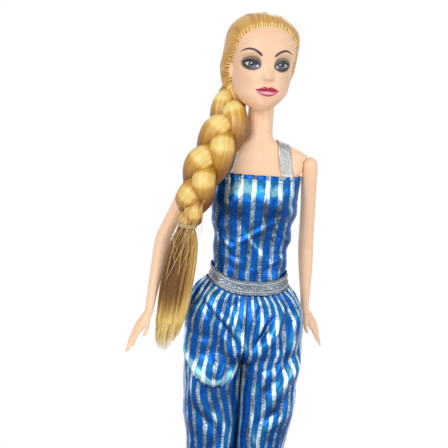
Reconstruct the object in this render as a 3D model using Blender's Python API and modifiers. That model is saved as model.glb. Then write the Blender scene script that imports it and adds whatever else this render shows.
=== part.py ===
"""Fashion doll in a strapped trouser suit, standing on wedge shoes. Metres, +Z up, the doll faces -Y.

The doll is built about its own midline with its soles at zero height. Its left is +X.
"""

import math

import bmesh
import bpy
import numpy as np
from mathutils import Matrix, Vector
from mathutils.bvhtree import BVHTree

MM = 0.001

# Fits and walls
CLEARANCE = 0.3 * MM
RUNNING_GAP = 0.35 * MM
VINYL_WALL = 1.7 * MM
OVERRUN = 60 * MM

# Heights, stacked from the soles
LEG_LENGTH = 152 * MM
HIP_TO_BELT = 24.5 * MM
BELT_TO_WAIST = 14.5 * MM
WAIST_TO_BUST = 20 * MM
BUST_TO_SHOULDER = 16 * MM
SHOULDER_SLOPE = 9.5 * MM
NECK_LENGTH = 19 * MM
CHIN_DROP = 6 * MM
HEAD_HEIGHT = 40 * MM

HIP_Z = LEG_LENGTH
BELT_Z = HIP_Z + HIP_TO_BELT
WAIST_Z = BELT_Z + BELT_TO_WAIST
BUST_Z = WAIST_Z + WAIST_TO_BUST
SHOULDER_Z = BUST_Z + BUST_TO_SHOULDER
NECK_Z = SHOULDER_Z + SHOULDER_SLOPE
NECK_TOP_Z = NECK_Z + NECK_LENGTH
CHIN_Z = NECK_TOP_Z - CHIN_DROP

# Torso, as half widths and depths before and behind its midline
HIP_HALF = 19.4 * MM
HIP_FRONT = 11.2 * MM
HIP_BACK = 12.4 * MM
BELT_HALF = 15.7 * MM
BELT_FRONT = 9.4 * MM
BELT_BACK = 9.4 * MM
WAIST_HALF = 15.5 * MM
WAIST_FRONT = 8.8 * MM
WAIST_BACK = 8.4 * MM
BUST_HALF = 18.4 * MM
BUST_FRONT = 10.6 * MM
BUST_BACK = 9.2 * MM
SHOULDER_HALF = 20 * MM
SHOULDER_FRONT = 6.6 * MM
SHOULDER_BACK = 7.2 * MM
NECK_DIAMETER = 11 * MM
BUST_SWELL = 2.8 * MM
BUST_SPREAD = 8.4 * MM
BUST_RADIUS = 6.4 * MM
BODY_POWER = 2.3
BODY_SIDES = 24

# Hips: a disc on each leg turns in a socket of the pelvis, on one spindle
HIP_DISC = 13.3 * MM
PELVIS_HALF = 6 * MM
SPINDLE_RADIUS = 2.5 * MM
SPINDLE_TIP = 3.8 * MM
SPINDLE_REACH = 13.5 * MM
SPINDLE_TIP_LENGTH = 3.2 * MM
SITTING_RELIEF = 12 * MM

# Neck knob, clamped between the torso halves
KNOB_STEM = 2.4 * MM
KNOB_FLANGE = 3.7 * MM
KNOB_FLANGE_THICKNESS = 1.8 * MM
KNOB_HEAD = 4.4 * MM
KNOB_HEAD_LENGTH = 3.6 * MM
KNOB_ROOT_DEPTH = 14 * MM

# Head
HEAD_HALF = 13.9 * MM
HEAD_FRONT = 14.3 * MM
HEAD_BACK = 14 * MM
HEAD_WALL = 2.3 * MM
HEAD_WEB = 1.4 * MM
HEAD_SIDES = 26
HEAD_TURN = math.radians(10)
NOSE_REACH = 3.1 * MM
NOSE_HALF = 2 * MM
NOSE_TIP_RISE = 15.2 * MM
NOSE_BRIDGE_RISE = 24 * MM
NOSE_BASE_FALL = 1.6 * MM
LIP_REACH = 1 * MM
LIP_RISE = 9.1 * MM
LIP_HALF = 3.6 * MM
LIP_HEIGHT = 1.9 * MM
CHIN_REACH = 0.8 * MM
CHIN_RISE = 3.2 * MM
CHIN_SIZE = 3.4 * MM
EYE_DEPTH = 0.9 * MM
EYE_RISE = 20.8 * MM
EYE_SPREAD = 6.5 * MM
EYE_SIZE = 3 * MM
EAR_HEIGHT = 6.8 * MM
EAR_LENGTH = 3.8 * MM
EAR_THICKNESS = 2.6 * MM
EAR_RISE = 16.6 * MM

# Hair swept back from the hairline
HAIR_RISE = 3.4 * MM
HAIR_HALF = 17 * MM
HAIR_FRONT = 13.4 * MM
HAIR_BACK = 18 * MM
HAIRLINE_HALF = 13.2 * MM
HAIRLINE_RISE = 37.6 * MM
HAIRLINE_OVAL = 18.6 * MM
HAIR_BEHIND_EAR = 2.4 * MM
HAIR_SIDES = 24

# Side braid of three locks, its clear elastic and its loose tail
BRAID_WIDTH = 17 * MM
BRAID_PITCH = 42 * MM
BRAID_START_TURN = math.radians(75)
BRAID_ROUTE = [
    (-15.6 * MM, 7.4 * MM, SHOULDER_Z + 32.4 * MM),
    (-15.8 * MM, 3.2 * MM, SHOULDER_Z + 27 * MM),
    (-15 * MM, -2.4 * MM, SHOULDER_Z + 20.5 * MM),
    (-15.4 * MM, -8.4 * MM, SHOULDER_Z + 13.5 * MM),
    (-18.4 * MM, -12.6 * MM, SHOULDER_Z + 5.6 * MM),
    (-21.8 * MM, -14.6 * MM, SHOULDER_Z - 1.6 * MM),
    (-25 * MM, -14.8 * MM, SHOULDER_Z - 9.4 * MM),
    (-26.4 * MM, -13.4 * MM, SHOULDER_Z - 17.4 * MM),
    (-27.6 * MM, -11.6 * MM, SHOULDER_Z - 24 * MM),
    (-28.4 * MM, -10.4 * MM, SHOULDER_Z - 27.6 * MM),
]
BRAID_WIDTH_SHARES = [0.42, 0.56, 0.8, 0.98, 1, 0.98, 0.94, 0.84, 0.62, 0.46]
LOCK_SWING_SHARE = 0.32
LOCK_DEPTH_SHARE = 0.21
LOCK_HALF_SHARE = 0.185
LOCK_THICKNESS_SHARE = 0.135
LOCK_RINGS = 24
LOCK_SIDES = 8
ELASTIC_RADIUS = 3.9 * MM
ELASTIC_CORD = 0.65 * MM
ELASTIC_DROP = 2.2 * MM
TAIL_GAP = 1.8 * MM
TAIL_LENGTH = 57 * MM
TAIL_HALF = 7.2 * MM
TAIL_DEPTH = 2.5 * MM
TAIL_DRIFT = 6.4 * MM
TAIL_SHARES = [
    (0, 0, 0.42, 1.1),
    (0.075, 0, 0.42, 1.1),
    (0.13, 0.08, 0.8, 1),
    (0.25, 0.2, 0.92, 1),
    (0.45, 0.4, 1, 1),
    (0.66, 0.58, 0.97, 0.94),
    (0.82, 0.78, 0.78, 0.8),
    (0.92, 0.9, 0.54, 0.66),
    (1, 1, 0.22, 0.5),
]

# Arms, each on a peg that turns in the torso, with a hinge outside it
PIVOT_OUT = 3.5 * MM
ARM_HEAD = 3.2 * MM
ARM_HEAD_HALF_DEPTH = 4 * MM
UPPER_ARM = 39 * MM
FOREARM = 32 * MM
HAND_LENGTH = 11 * MM
ELBOW_RADIUS = 3.5 * MM
WRIST_RADIUS = 1.95 * MM
PALM_HALF = 3.2 * MM
PALM_HALF_THICKNESS = 1.4 * MM
FINGER_LENGTH = 9.6 * MM
FINGER_RADIUS = 0.82 * MM
THUMB_LENGTH = 8.4 * MM
THUMB_RADIUS = 0.85 * MM
HAND_TURN = math.radians(50)
ELBOW_BEND = math.radians(17)
HAND_SPLAY = math.radians(22)
LEFT_RAISE = math.radians(3)
RIGHT_RAISE = math.radians(23)
LEFT_SWING = math.radians(20)
RIGHT_SWING = 0
LEFT_FOREARM_LEAN = math.radians(1.5)
RIGHT_FOREARM_LEAN = math.radians(-16)
PEG_FLANGE = 3.1 * MM
PEG_FLANGE_THICKNESS = 1.3 * MM
PEG_STEM = 1.9 * MM
TONGUE_THICKNESS = 1.8 * MM
TONGUE_RADIUS = 2 * MM
HINGE_PIN = 0.9 * MM
HINGE_PIN_LENGTH = 5.6 * MM

# Legs and feet
THIGH_HALF = 9 * MM
THIGH_FRONT = 11 * MM
THIGH_BACK = 12 * MM
KNEE_Z = 80 * MM
KNEE_HALF = 6.3 * MM
CALF_Z = 62 * MM
CALF_BACK = 7.2 * MM
ANKLE_Z = 27 * MM
ANKLE_HALF = 3.4 * MM
FOOT_APART = 10.8 * MM
FOOT_HALF = 4.3 * MM
FOOT_FRONT = 17.5 * MM
FOOT_BACK = 5.6 * MM
HEEL_RISE = 13 * MM
TOE_RISE = 3.4 * MM
LEG_SIDES = 14

# Wedge shoes
SHOE_WALL = 1.2 * MM
SHOE_TOP = 17 * MM
SHOE_MOUTH = 10.5 * MM

# Suit: bodice, closure, straps, belt and gathered trousers
CLOTH = 0.5 * MM
NECKLINE_DROP = 5 * MM
SEAM_GAP = 0.3 * MM
CLOSURE_HALF = 2.2 * MM
STRAP_WIDTH = 5.5 * MM
STRAP_THICKNESS = 0.5 * MM
STRAP_FRONT_X = 14.2 * MM
STRAP_TOP_X = 10.4 * MM
STRAP_BACK_X = 11.6 * MM
BELT_HEIGHT = 6 * MM
BELT_THICKNESS = 0.8 * MM
BELT_SAG = 3.2 * MM
TROUSER_HALF = 25.7 * MM
TROUSER_FRONT = 14.6 * MM
TROUSER_BACK = 15.4 * MM
CROTCH_DROP = 12 * MM
CROTCH_Z = HIP_Z - CROTCH_DROP
CUFF_Z = 27 * MM
CUFF_HALF = 5.2 * MM
CUFF_HEIGHT = 4 * MM
FOLD_DEPTH = 1.1 * MM
FOLD_PITCH = 26 * MM
FOLDS_ROUND = 5
TROUSER_SIDES = 20

# Colours and finishes: colour, roughness, metallic
FINISHES = {
    "vinyl_skin": ((0.93, 0.66, 0.49, 1), 0.42, 0),
    "hair_fibre": ((0.62, 0.41, 0.13, 1), 0.38, 0),
    "clear_elastic": ((0.85, 0.82, 0.74, 1), 0.2, 0),
    "foil_cloth": ((0.02, 0.14, 0.5, 1), 0.28, 1),
    "silver_ribbon": ((0.62, 0.66, 0.68, 1), 0.3, 0.9),
    "hook_and_loop": ((0.75, 0.78, 0.8, 1), 0.9, 0),
    "shoe_plastic": ((0.6, 0.62, 0.65, 1), 0.3, 0.2),
    "inner_plastic": ((0.8, 0.76, 0.7, 1), 0.5, 0),
}


def clear_scene():
    for item in list(bpy.data.objects):
        bpy.data.objects.remove(item)


def new_collection(name):
    group = bpy.data.collections.new(name)
    bpy.context.scene.collection.children.link(group)
    return group


def finish(name):
    """Material of one finish, made the first time that it is asked for."""
    found = bpy.data.materials.get(name)
    if found:
        return found
    colour, roughness, metallic = FINISHES[name]
    made = bpy.data.materials.new(name)
    made.use_nodes = True
    shader = made.node_tree.nodes["Principled BSDF"]
    shader.inputs["Base Color"].default_value = colour
    shader.inputs["Roughness"].default_value = roughness
    shader.inputs["Metallic"].default_value = metallic
    made.diffuse_color = colour
    return made


def empty(name, location, parent=None, turn=None):
    made = bpy.data.objects.new(name, None)
    PARTS.objects.link(made)
    made.location = location
    if turn:
        made.rotation_euler = turn
    made.parent = parent
    made.empty_display_size = HEAD_HALF
    return made


def add_piece(name, mesh, finish_name, parent):
    """Visible piece, in the frame of its parent empty."""
    mesh.materials.append(finish(finish_name))
    mesh.shade_smooth()
    mesh.set_sharp_from_angle(angle=math.radians(40))
    piece = bpy.data.objects.new(name, mesh)
    PARTS.objects.link(piece)
    piece.parent = parent
    return piece


def add_cutter(name, mesh, parent):
    """Hidden shape that only cuts or joins others."""
    shape = bpy.data.objects.new(name, mesh)
    CUTTERS.objects.link(shape)
    shape.parent = parent
    shape.hide_render = True
    shape.display_type = "WIRE"
    return shape


def change(piece, shape, operation="DIFFERENCE"):
    modifier = piece.modifiers.new(f"{operation.lower()}_{shape.name}", "BOOLEAN")
    modifier.operation = operation
    modifier.solver = "EXACT"
    modifier.object = shape


def mesh_of(name, points, faces):
    mesh = bpy.data.meshes.new(name)
    mesh.from_pydata([tuple(point) for point in points], [], faces)
    mesh.validate()
    return mesh


def grid_faces(rows, columns, closed):
    """Quads of a grid of points; closed joins the last column to the first."""
    faces = []
    for row in range(rows - 1):
        for column in range(columns if closed else columns - 1):
            following = (column + 1) % columns
            faces.append(
                (
                    row * columns + column,
                    row * columns + following,
                    (row + 1) * columns + following,
                    (row + 1) * columns + column,
                )
            )
    return faces


def loft(name, rings):
    """Closed solid through rings that run anticlockwise seen from their far end."""
    columns = len(rings[0])
    faces = grid_faces(len(rings), columns, True)
    faces.append(tuple(reversed(range(columns))))
    faces.append(tuple((len(rings) - 1) * columns + column for column in range(columns)))
    return mesh_of(name, [point for ring in rings for point in ring], faces)


def open_grid(name, rows, closed=False):
    """Open surface through rows of points, for a Solidify modifier."""
    faces = grid_faces(len(rows), len(rows[0]), closed)
    return mesh_of(name, [point for row in rows for point in row], faces)


def thicken(piece, thickness):
    modifier = piece.modifiers.new("cloth_thickness", "SOLIDIFY")
    modifier.thickness = thickness
    modifier.offset = 1


def rod_mesh(name, radius, start, end, sides=12, end_radius=None):
    """Cylinder or cone between two points, with no corner on the main planes through its axis."""
    start, end = Vector(start), Vector(end)
    run = end - start
    place = Matrix.Translation((start + end) / 2) @ run.to_track_quat("Z", "Y").to_matrix().to_4x4()
    place = place @ Matrix.Rotation(math.pi / sides, 4, "Z")
    form = bmesh.new()
    bmesh.ops.create_cone(
        form,
        cap_ends=True,
        segments=sides,
        radius1=radius,
        radius2=radius if end_radius is None else end_radius,
        depth=run.length,
        matrix=place,
    )
    mesh = bpy.data.meshes.new(name)
    form.to_mesh(mesh)
    form.free()
    return mesh


def block_mesh(name, low, high):
    low, high = Vector(low), Vector(high)
    form = bmesh.new()
    place = Matrix.Translation((low + high) / 2) @ Matrix.Diagonal((*(high - low), 1))
    bmesh.ops.create_cube(form, size=1, matrix=place)
    mesh = bpy.data.meshes.new(name)
    form.to_mesh(mesh)
    form.free()
    return mesh


def ball_mesh(name, centre, radii, sides=10, rings=6):
    form = bmesh.new()
    place = Matrix.Translation(centre) @ Matrix.Diagonal((*radii, 1))
    bmesh.ops.create_uvsphere(form, u_segments=sides, v_segments=rings, radius=1, matrix=place)
    mesh = bpy.data.meshes.new(name)
    form.to_mesh(mesh)
    form.free()
    return mesh


def turned_piece(name, profile, finish_name, parent, steps=16):
    """Turned solid whose profile of radius and height runs from the top down its outer side."""
    mesh = bpy.data.meshes.new(name)
    edges = [(index, index + 1) for index in range(len(profile) - 1)]
    mesh.from_pydata([(radius, 0, height) for radius, height in profile], edges, [])
    piece = add_piece(name, mesh, finish_name, parent)
    modifier = piece.modifiers.new("turn", "SCREW")
    modifier.steps = steps
    modifier.render_steps = steps
    modifier.use_merge_vertices = True
    modifier.merge_threshold = CLEARANCE / 10
    modifier.use_smooth_shade = True
    return piece


def oval_point(angle, half_width, front, back, power):
    """Point of an oval whose front depth, toward -Y, differs from its back depth."""
    across, along = math.cos(angle), math.sin(angle)
    depth = back if along > 0 else front
    x = half_width * math.copysign(abs(across) ** (2 / power), across)
    return x, depth * math.copysign(abs(along) ** (2 / power), along)


def bump(x, z, centre_x, centre_z, half_width, half_height):
    return math.exp(-(((x - centre_x) / half_width) ** 2) - ((z - centre_z) / half_height) ** 2)


def blend_rows(rows, height):
    """Row of named sizes at a height, straight between the rows below and above it."""
    rows = sorted(rows)
    height = min(max(height, rows[0][0]), rows[-1][0])
    for lower, upper in zip(rows, rows[1:]):
        if height <= upper[0]:
            share = (height - lower[0]) / (upper[0] - lower[0])
            return tuple(a + (b - a) * share for a, b in zip(lower, upper))
    return rows[-1]


def mean(first, second, share=0.5):
    return first + (second - first) * share


def body_rows():
    """Height, half width, front depth, back depth and power of each torso section."""
    core = HIP_DISC - CLEARANCE
    rows = []
    for degrees in (32, 48, 68, 86):
        angle = math.radians(degrees)
        depth = core * math.sin(angle)
        height = HIP_Z - core * math.cos(angle)
        rows.append((height, PELVIS_HALF, min(depth, HIP_FRONT), min(depth, HIP_BACK), BODY_POWER))
    neck = NECK_DIAMETER / 2
    rise = BELT_Z - HIP_Z
    chest = SHOULDER_Z - BUST_Z
    rows += [
        (HIP_Z, HIP_HALF, HIP_FRONT, HIP_BACK, BODY_POWER),
        (HIP_Z + rise * 0.45, HIP_HALF * 0.97, HIP_FRONT, HIP_BACK, BODY_POWER),
        (HIP_Z + rise * 0.75, mean(HIP_HALF, BELT_HALF, 0.6), mean(HIP_FRONT, BELT_FRONT, 0.6), mean(HIP_BACK, BELT_BACK, 0.6), BODY_POWER),
        (BELT_Z, BELT_HALF, BELT_FRONT, BELT_BACK, BODY_POWER),
        (WAIST_Z, WAIST_HALF, WAIST_FRONT, WAIST_BACK, BODY_POWER),
        (mean(WAIST_Z, BUST_Z, 0.6), mean(WAIST_HALF, BUST_HALF, 0.6), mean(WAIST_FRONT, BUST_FRONT, 0.7), mean(WAIST_BACK, BUST_BACK), BODY_POWER),
        (BUST_Z, BUST_HALF, BUST_FRONT, BUST_BACK, BODY_POWER),
        (BUST_Z + chest * 0.4, BUST_HALF, mean(BUST_FRONT, SHOULDER_FRONT, 0.3), mean(BUST_BACK, SHOULDER_BACK, 0.3), BODY_POWER),
        (BUST_Z + chest * 0.72, mean(BUST_HALF, SHOULDER_HALF, 0.45), mean(BUST_FRONT, SHOULDER_FRONT, 0.7), mean(BUST_BACK, SHOULDER_BACK, 0.6), BODY_POWER),
        (SHOULDER_Z, SHOULDER_HALF + CLEARANCE, SHOULDER_FRONT, SHOULDER_BACK, BODY_POWER),
        (SHOULDER_Z + SHOULDER_SLOPE * 0.42, SHOULDER_HALF, SHOULDER_FRONT * 0.88, SHOULDER_BACK * 0.92, BODY_POWER),
        (SHOULDER_Z + SHOULDER_SLOPE * 0.65, mean(SHOULDER_HALF, neck, 0.2), SHOULDER_FRONT * 0.84, SHOULDER_BACK * 0.9, BODY_POWER),
        (SHOULDER_Z + SHOULDER_SLOPE * 0.84, mean(SHOULDER_HALF, neck, 0.46), SHOULDER_FRONT * 0.82, SHOULDER_BACK * 0.88, BODY_POWER),
        (NECK_Z, neck * 1.4, neck * 1.03, neck * 1.12, 2),
        (mean(NECK_Z, NECK_TOP_Z, 0.14), neck * 1.04, neck, neck * 1.02, 2),
        (NECK_TOP_Z, neck, neck, neck, 2),
    ]
    return rows


def row_point(row, step, grow):
    height, half_width, front, back, power = row
    angle = math.tau * step / BODY_SIDES
    x, y = oval_point(angle, half_width + grow, front + grow, back + grow, power)
    if y < 0:
        share = min(1, -y / front)
        y -= BUST_SWELL * share * bump(abs(x), height, BUST_SPREAD, BUST_Z, BUST_RADIUS, BUST_RADIUS)
    return Vector((x, y, height))


def body_point(height, step, grow):
    """Point on the torso's facets, grown outwards; step counts sides of the ring from +X."""
    lower, upper = next(
        (low, high) for low, high in zip(BODY_ROWS, BODY_ROWS[1:]) if height <= high[0] or high is BODY_ROWS[-1]
    )
    share = (height - lower[0]) / (upper[0] - lower[0])
    whole = math.floor(step)
    ends = [
        row_point(row, whole, grow).lerp(row_point(row, whole + 1, grow), step - whole) for row in (lower, upper)
    ]
    return ends[0].lerp(ends[1], share)


def body_heights(low, high):
    """The two heights and every torso row between them."""
    return [low] + [row[0] for row in BODY_ROWS if low + CLOTH < row[0] < high - CLOTH] + [high]


def step_at(x, height, back):
    """Ring step, on the front or back half, where the torso surface is x from the midline."""
    low, high = (0, BODY_SIDES / 2) if back else (BODY_SIDES, BODY_SIDES / 2)
    for _ in range(40):
        middle = (low + high) / 2
        if body_point(height, middle, 0).x > x:
            low = middle
        else:
            high = middle
    return (low + high) / 2


def torso_half(back):
    """Front or back half of the torso's form, closed along the side seams."""
    half = BODY_SIDES // 2
    first, seam = (0, CLEARANCE / 2) if back else (half, -CLEARANCE / 2)
    rings = []
    for row in BODY_ROWS:
        ring = [row_point(row, first + step, 0) for step in range(half + 1)]
        ring[0].y = ring[-1].y = seam
        rings.append(ring)
    return loft("torso_half", rings)


def make_torso(parent):
    """Front and back shells of the torso, split along the sides, with sockets for every limb."""
    wall = VINYL_WALL
    roof = HIP_Z + HIP_DISC + RUNNING_GAP + wall
    hollow_rows = [HIP_Z - HIP_DISC * 0.7, HIP_Z, roof - wall / 2]
    hollow = [
        [oval_hollow(height, step, PELVIS_HALF - wall, wall) for step in range(14)] for height in hollow_rows
    ]
    for height in (roof, BELT_Z, WAIST_Z, BUST_Z, mean(BUST_Z, SHOULDER_Z), SHOULDER_Z + PEG_FLANGE * 0.9):
        row = blend_rows(BODY_ROWS, height)
        half_width = min(row[1] - wall, SHOULDER_HALF - wall)
        hollow.append([oval_hollow(height, step, half_width, wall) for step in range(14)])
    cavity = add_cutter("torso_cavity", loft("torso_cavity", hollow), parent)
    knob_bore = add_cutter("knob_bore", knob_bore_mesh(), parent)
    sockets = [cavity, knob_bore]
    for side in (-1, 1):
        socket_radius = HIP_DISC + RUNNING_GAP
        inner = side * (PELVIS_HALF + CLEARANCE / 2)
        centre = Vector((inner, 0, HIP_Z))
        far = centre + Vector((side * OVERRUN, 0, 0))
        name = "left" if side > 0 else "right"
        sockets.append(add_cutter(f"{name}_hip_socket", rod_mesh("hip_socket", socket_radius, centre, far, 28), parent))
        corners = [(inner, -OVERRUN, HIP_Z - OVERRUN), (far.x, 0, HIP_Z + SITTING_RELIEF)]
        low = [min(values) for values in zip(*corners)]
        high = [max(values) for values in zip(*corners)]
        sockets.append(add_cutter(f"{name}_sitting_relief", block_mesh("sitting_relief", low, high), parent))
        low = [min(side * SHOULDER_HALF, side * OVERRUN), -OVERRUN, WAIST_Z]
        high = [max(side * SHOULDER_HALF, side * OVERRUN), OVERRUN, NECK_TOP_Z]
        sockets.append(add_cutter(f"{name}_arm_side", block_mesh("arm_side", low, high), parent))
        start = (side * (SHOULDER_HALF - VINYL_WALL * 1.5), 0, SHOULDER_Z)
        end = (side * (SHOULDER_HALF + PEG_STEM), 0, SHOULDER_Z)
        sockets.append(add_cutter(f"{name}_peg_hole", rod_mesh("peg_hole", PEG_STEM + CLEARANCE, start, end), parent))
        start = (side * (SHOULDER_HALF - VINYL_WALL), 0, SHOULDER_Z)
        end = (side * (SHOULDER_HALF - VINYL_WALL * 2 - PEG_FLANGE_THICKNESS - CLEARANCE), 0, SHOULDER_Z)
        sockets.append(add_cutter(f"{name}_peg_pocket", rod_mesh("peg_pocket", PEG_FLANGE + CLEARANCE, start, end, 12), parent))
    reach = PELVIS_HALF * 2
    spindle_hole = rod_mesh("spindle_hole", SPINDLE_RADIUS + CLEARANCE, (-reach, 0, HIP_Z), (reach, 0, HIP_Z))
    sockets.append(add_cutter("spindle_hole", spindle_hole, parent))
    for name, back in (("torso_front", False), ("torso_back", True)):
        piece = add_piece(name, torso_half(back), "vinyl_skin", parent)
        for shape in sockets:
            change(piece, shape)


def oval_hollow(height, step, half_width, wall):
    row = blend_rows(BODY_ROWS, height)
    angle = math.tau * step / 14
    x, y = oval_point(angle, half_width, row[2] - wall, row[3] - wall, 2.2)
    return Vector((x, y, height))


def knob_bore_mesh():
    """Bore for the knob's stem through the neck, with a pocket for its flange."""
    radius = KNOB_STEM + CLEARANCE
    flange = KNOB_FLANGE + CLEARANCE
    low = NECK_TOP_Z - KNOB_ROOT_DEPTH
    heights = [
        (low - CLEARANCE, flange),
        (low + KNOB_FLANGE_THICKNESS + CLEARANCE, flange),
        (low + KNOB_FLANGE_THICKNESS + CLEARANCE + CLOTH, radius),
        (NECK_TOP_Z + KNOB_FLANGE, radius),
    ]
    rings = [[(r * math.cos(math.tau * i / 20), r * math.sin(math.tau * i / 20), z) for i in range(20)] for z, r in heights]
    return loft("knob_bore", rings)


def head_web_z():
    return NECK_TOP_Z + CLEARANCE


def make_neck_knob(parent):
    """Stem with a flange in the neck and a mushroom head that the vinyl head snaps over."""
    low = NECK_TOP_Z - KNOB_ROOT_DEPTH
    under_head = head_web_z() + HEAD_WEB + CLEARANCE
    top = under_head + KNOB_HEAD_LENGTH
    profile = [
        (0, top),
        (KNOB_HEAD * 0.62, top - KNOB_HEAD_LENGTH * 0.12),
        (KNOB_HEAD * 0.94, mean(top, under_head, 0.5)),
        (KNOB_HEAD, mean(top, under_head, 0.8)),
        (KNOB_HEAD * 0.96, under_head),
        (KNOB_STEM, under_head),
        (KNOB_STEM, low + KNOB_FLANGE_THICKNESS),
        (KNOB_FLANGE, low + KNOB_FLANGE_THICKNESS),
        (KNOB_FLANGE, low),
        (0, low),
    ]
    turned_piece("neck_knob", profile, "inner_plastic", parent)


def make_hip_spindle(parent):
    """Crossbar clamped in the pelvis, whose flared tips hold both legs."""
    neck = SPINDLE_REACH - SPINDLE_TIP_LENGTH
    half = [
        (SPINDLE_TIP * 0.5, SPINDLE_REACH),
        (SPINDLE_TIP * 0.84, SPINDLE_REACH - SPINDLE_TIP_LENGTH * 0.3),
        (SPINDLE_TIP, neck),
        (SPINDLE_RADIUS, neck),
    ]
    profile = [(0, SPINDLE_REACH)] + half + [(r, -h) for r, h in reversed(half)] + [(0, -SPINDLE_REACH)]
    holder = empty("hip_axis", (0, 0, HIP_Z), parent, (0, math.radians(90), 0))
    turned_piece("hip_spindle", profile, "inner_plastic", holder)


def head_rows():
    """Rise over the chin, half width, centre, and half depth of each section of the head."""
    shares = [
        (0, 0.2, -0.72, 0.12),
        (0.022, 0.37, -0.64, 0.3),
        (0.046, 0.49, -0.46, 0.5),
        (0.068, 0.585, -0.23, 0.77),
        (0.125, 0.71, -0.15, 0.83),
        (0.185, 0.82, -0.1, 0.88),
        (0.23, 0.87, -0.08, 0.9),
        (0.275, 0.905, -0.06, 0.92),
        (0.32, 0.93, -0.04, 0.94),
        (0.355, 0.94, -0.02, 0.95),
        (0.39, 0.95, -0.01, 0.97),
        (0.44, 0.955, 0, 0.98),
        (0.515, 0.965, 0, 0.99),
        (0.6, 0.99, 0, 1),
        (0.7, 1, 0, 0.99),
        (0.8, 0.95, 0, 0.92),
        (0.885, 0.8, 0, 0.77),
        (0.95, 0.57, 0, 0.54),
        (0.988, 0.3, 0, 0.29),
    ]
    middle = (HEAD_BACK + HEAD_FRONT) / 2
    shift = (HEAD_BACK - HEAD_FRONT) / 2
    return [
        (rise * HEAD_HEIGHT, half * HEAD_HALF, shift + centre * HEAD_FRONT, depth * middle)
        for rise, half, centre, depth in shares
    ]


def face_reach(x, rise):
    """How far the nose, lips, chin and eye sockets stand out from the plain section."""
    if rise >= NOSE_TIP_RISE:
        share = max(0, (NOSE_BRIDGE_RISE - rise) / (NOSE_BRIDGE_RISE - NOSE_TIP_RISE))
        ridge = NOSE_REACH * share**1.2
        half = NOSE_HALF * mean(0.7, 1, share)
    else:
        ridge = NOSE_REACH * math.exp(-(((NOSE_TIP_RISE - rise) / NOSE_BASE_FALL) ** 2))
        half = NOSE_HALF
    reach = ridge * math.exp(-((x / half) ** 2))
    reach += LIP_REACH * bump(x, rise, 0, LIP_RISE, LIP_HALF, LIP_HEIGHT)
    reach += CHIN_REACH * bump(x, rise, 0, CHIN_RISE, CHIN_SIZE, CHIN_SIZE)
    reach -= EYE_DEPTH * bump(abs(x), rise, EYE_SPREAD, EYE_RISE, EYE_SIZE, EYE_SIZE)
    return reach


def head_ring(row, grow, sides, features=True):
    rise, half_width, centre, half_depth = row
    ring = []
    for step in range(sides):
        angle = math.tau * step / sides
        x, y = oval_point(angle, half_width + grow, half_depth + grow, half_depth + grow, 2.15)
        if features and y < 0:
            y -= face_reach(x, rise) * min(1, -y / half_depth) ** 2
        ring.append(Vector((x, y + centre, CHIN_Z + rise)))
    return ring


def make_head(parent):
    """Hollow vinyl head with ears, and a socket that turns on the neck."""
    rows = head_rows()
    head = add_piece("head", loft("head", [head_ring(row, 0, HEAD_SIDES) for row in rows]), "vinyl_skin", parent)
    for side in (-1, 1):
        centre = (side * HEAD_HALF * 0.955, 0, CHIN_Z + EAR_RISE)
        radii = (EAR_THICKNESS / 2, EAR_LENGTH / 2, EAR_HEIGHT / 2)
        ear = add_cutter(f"ear_form_{'left' if side > 0 else 'right'}", ball_mesh("ear", centre, radii), parent)
        change(head, ear, "UNION")
    web = head_web_z()
    floor = web + HEAD_WEB
    inner = [row for row in rows if floor + CLEARANCE - CHIN_Z < row[0] < HEAD_HEIGHT * 0.93]
    first = blend_rows(rows, floor - CHIN_Z)
    hollow = [head_ring(row, -HEAD_WALL, 18, False) for row in [first] + inner[::2]]
    change(head, add_cutter("head_cavity", loft("head_cavity", hollow), parent))
    socket = NECK_DIAMETER / 2 + RUNNING_GAP
    base = (0, 0, CHIN_Z - CHIN_DROP)
    change(head, add_cutter("neck_socket", rod_mesh("neck_socket", socket, base, (0, 0, web), 20), parent))
    hole = KNOB_STEM + RUNNING_GAP
    change(head, add_cutter("knob_hole", rod_mesh("knob_hole", hole, base, (0, 0, floor + HEAD_WEB)), parent))


def hair_rows():
    """Rise over the chin, half width, front and back depth of each section of the hair."""
    top = HEAD_HEIGHT + HAIR_RISE
    shares = [
        (0.115, 0.66, -0.3, 0.72),
        (0.2, 0.84, -0.18, 0.86),
        (0.32, 0.95, -0.1, 0.95),
        (0.44, 1, 0.3, 1),
        (0.53, 1, 0.58, 1),
        (0.6, 0.985, 0.78, 1),
        (0.7, 0.97, 0.97, 0.97),
        (0.79, 0.93, 0.98, 0.93),
        (0.875, 0.8, 0.86, 0.82),
        (0.94, 0.58, 0.62, 0.62),
        (0.985, 0.3, 0.3, 0.36),
        (1, 0.12, 0.1, 0.18),
    ]
    return [
        (rise * top, half * HAIR_HALF, front * HAIR_FRONT, back * HAIR_BACK) for rise, half, front, back in shares
    ]


def hair_ring(row, grow=0):
    rise, half_width, front, back = row
    centre, half_depth = (back - front) / 2, (back + front) / 2
    ring = []
    for step in range(HAIR_SIDES):
        angle = math.tau * step / HAIR_SIDES
        x, y = oval_point(angle, half_width + grow, half_depth + grow, half_depth + grow, 2.2)
        ring.append(Vector((x, y + centre, CHIN_Z + rise)))
    return ring


def hairline_mesh():
    """Prism in front of the hairline: an oval over the forehead with straight sides below."""
    outline = [(HAIRLINE_HALF, CHIN_Z - CHIN_DROP)]
    middle = HAIRLINE_RISE - HAIRLINE_OVAL
    for step in range(21):
        angle = math.pi * step / 20
        height = CHIN_Z + middle + HAIRLINE_OVAL * math.sin(angle)
        outline.append((HAIRLINE_HALF * math.cos(angle), height))
    outline.append((-HAIRLINE_HALF, CHIN_Z - CHIN_DROP))
    rings = [[(x, y, z) for x, z in outline] for y in (CLEARANCE, -OVERRUN)]
    return loft("hairline_form", rings)


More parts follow.
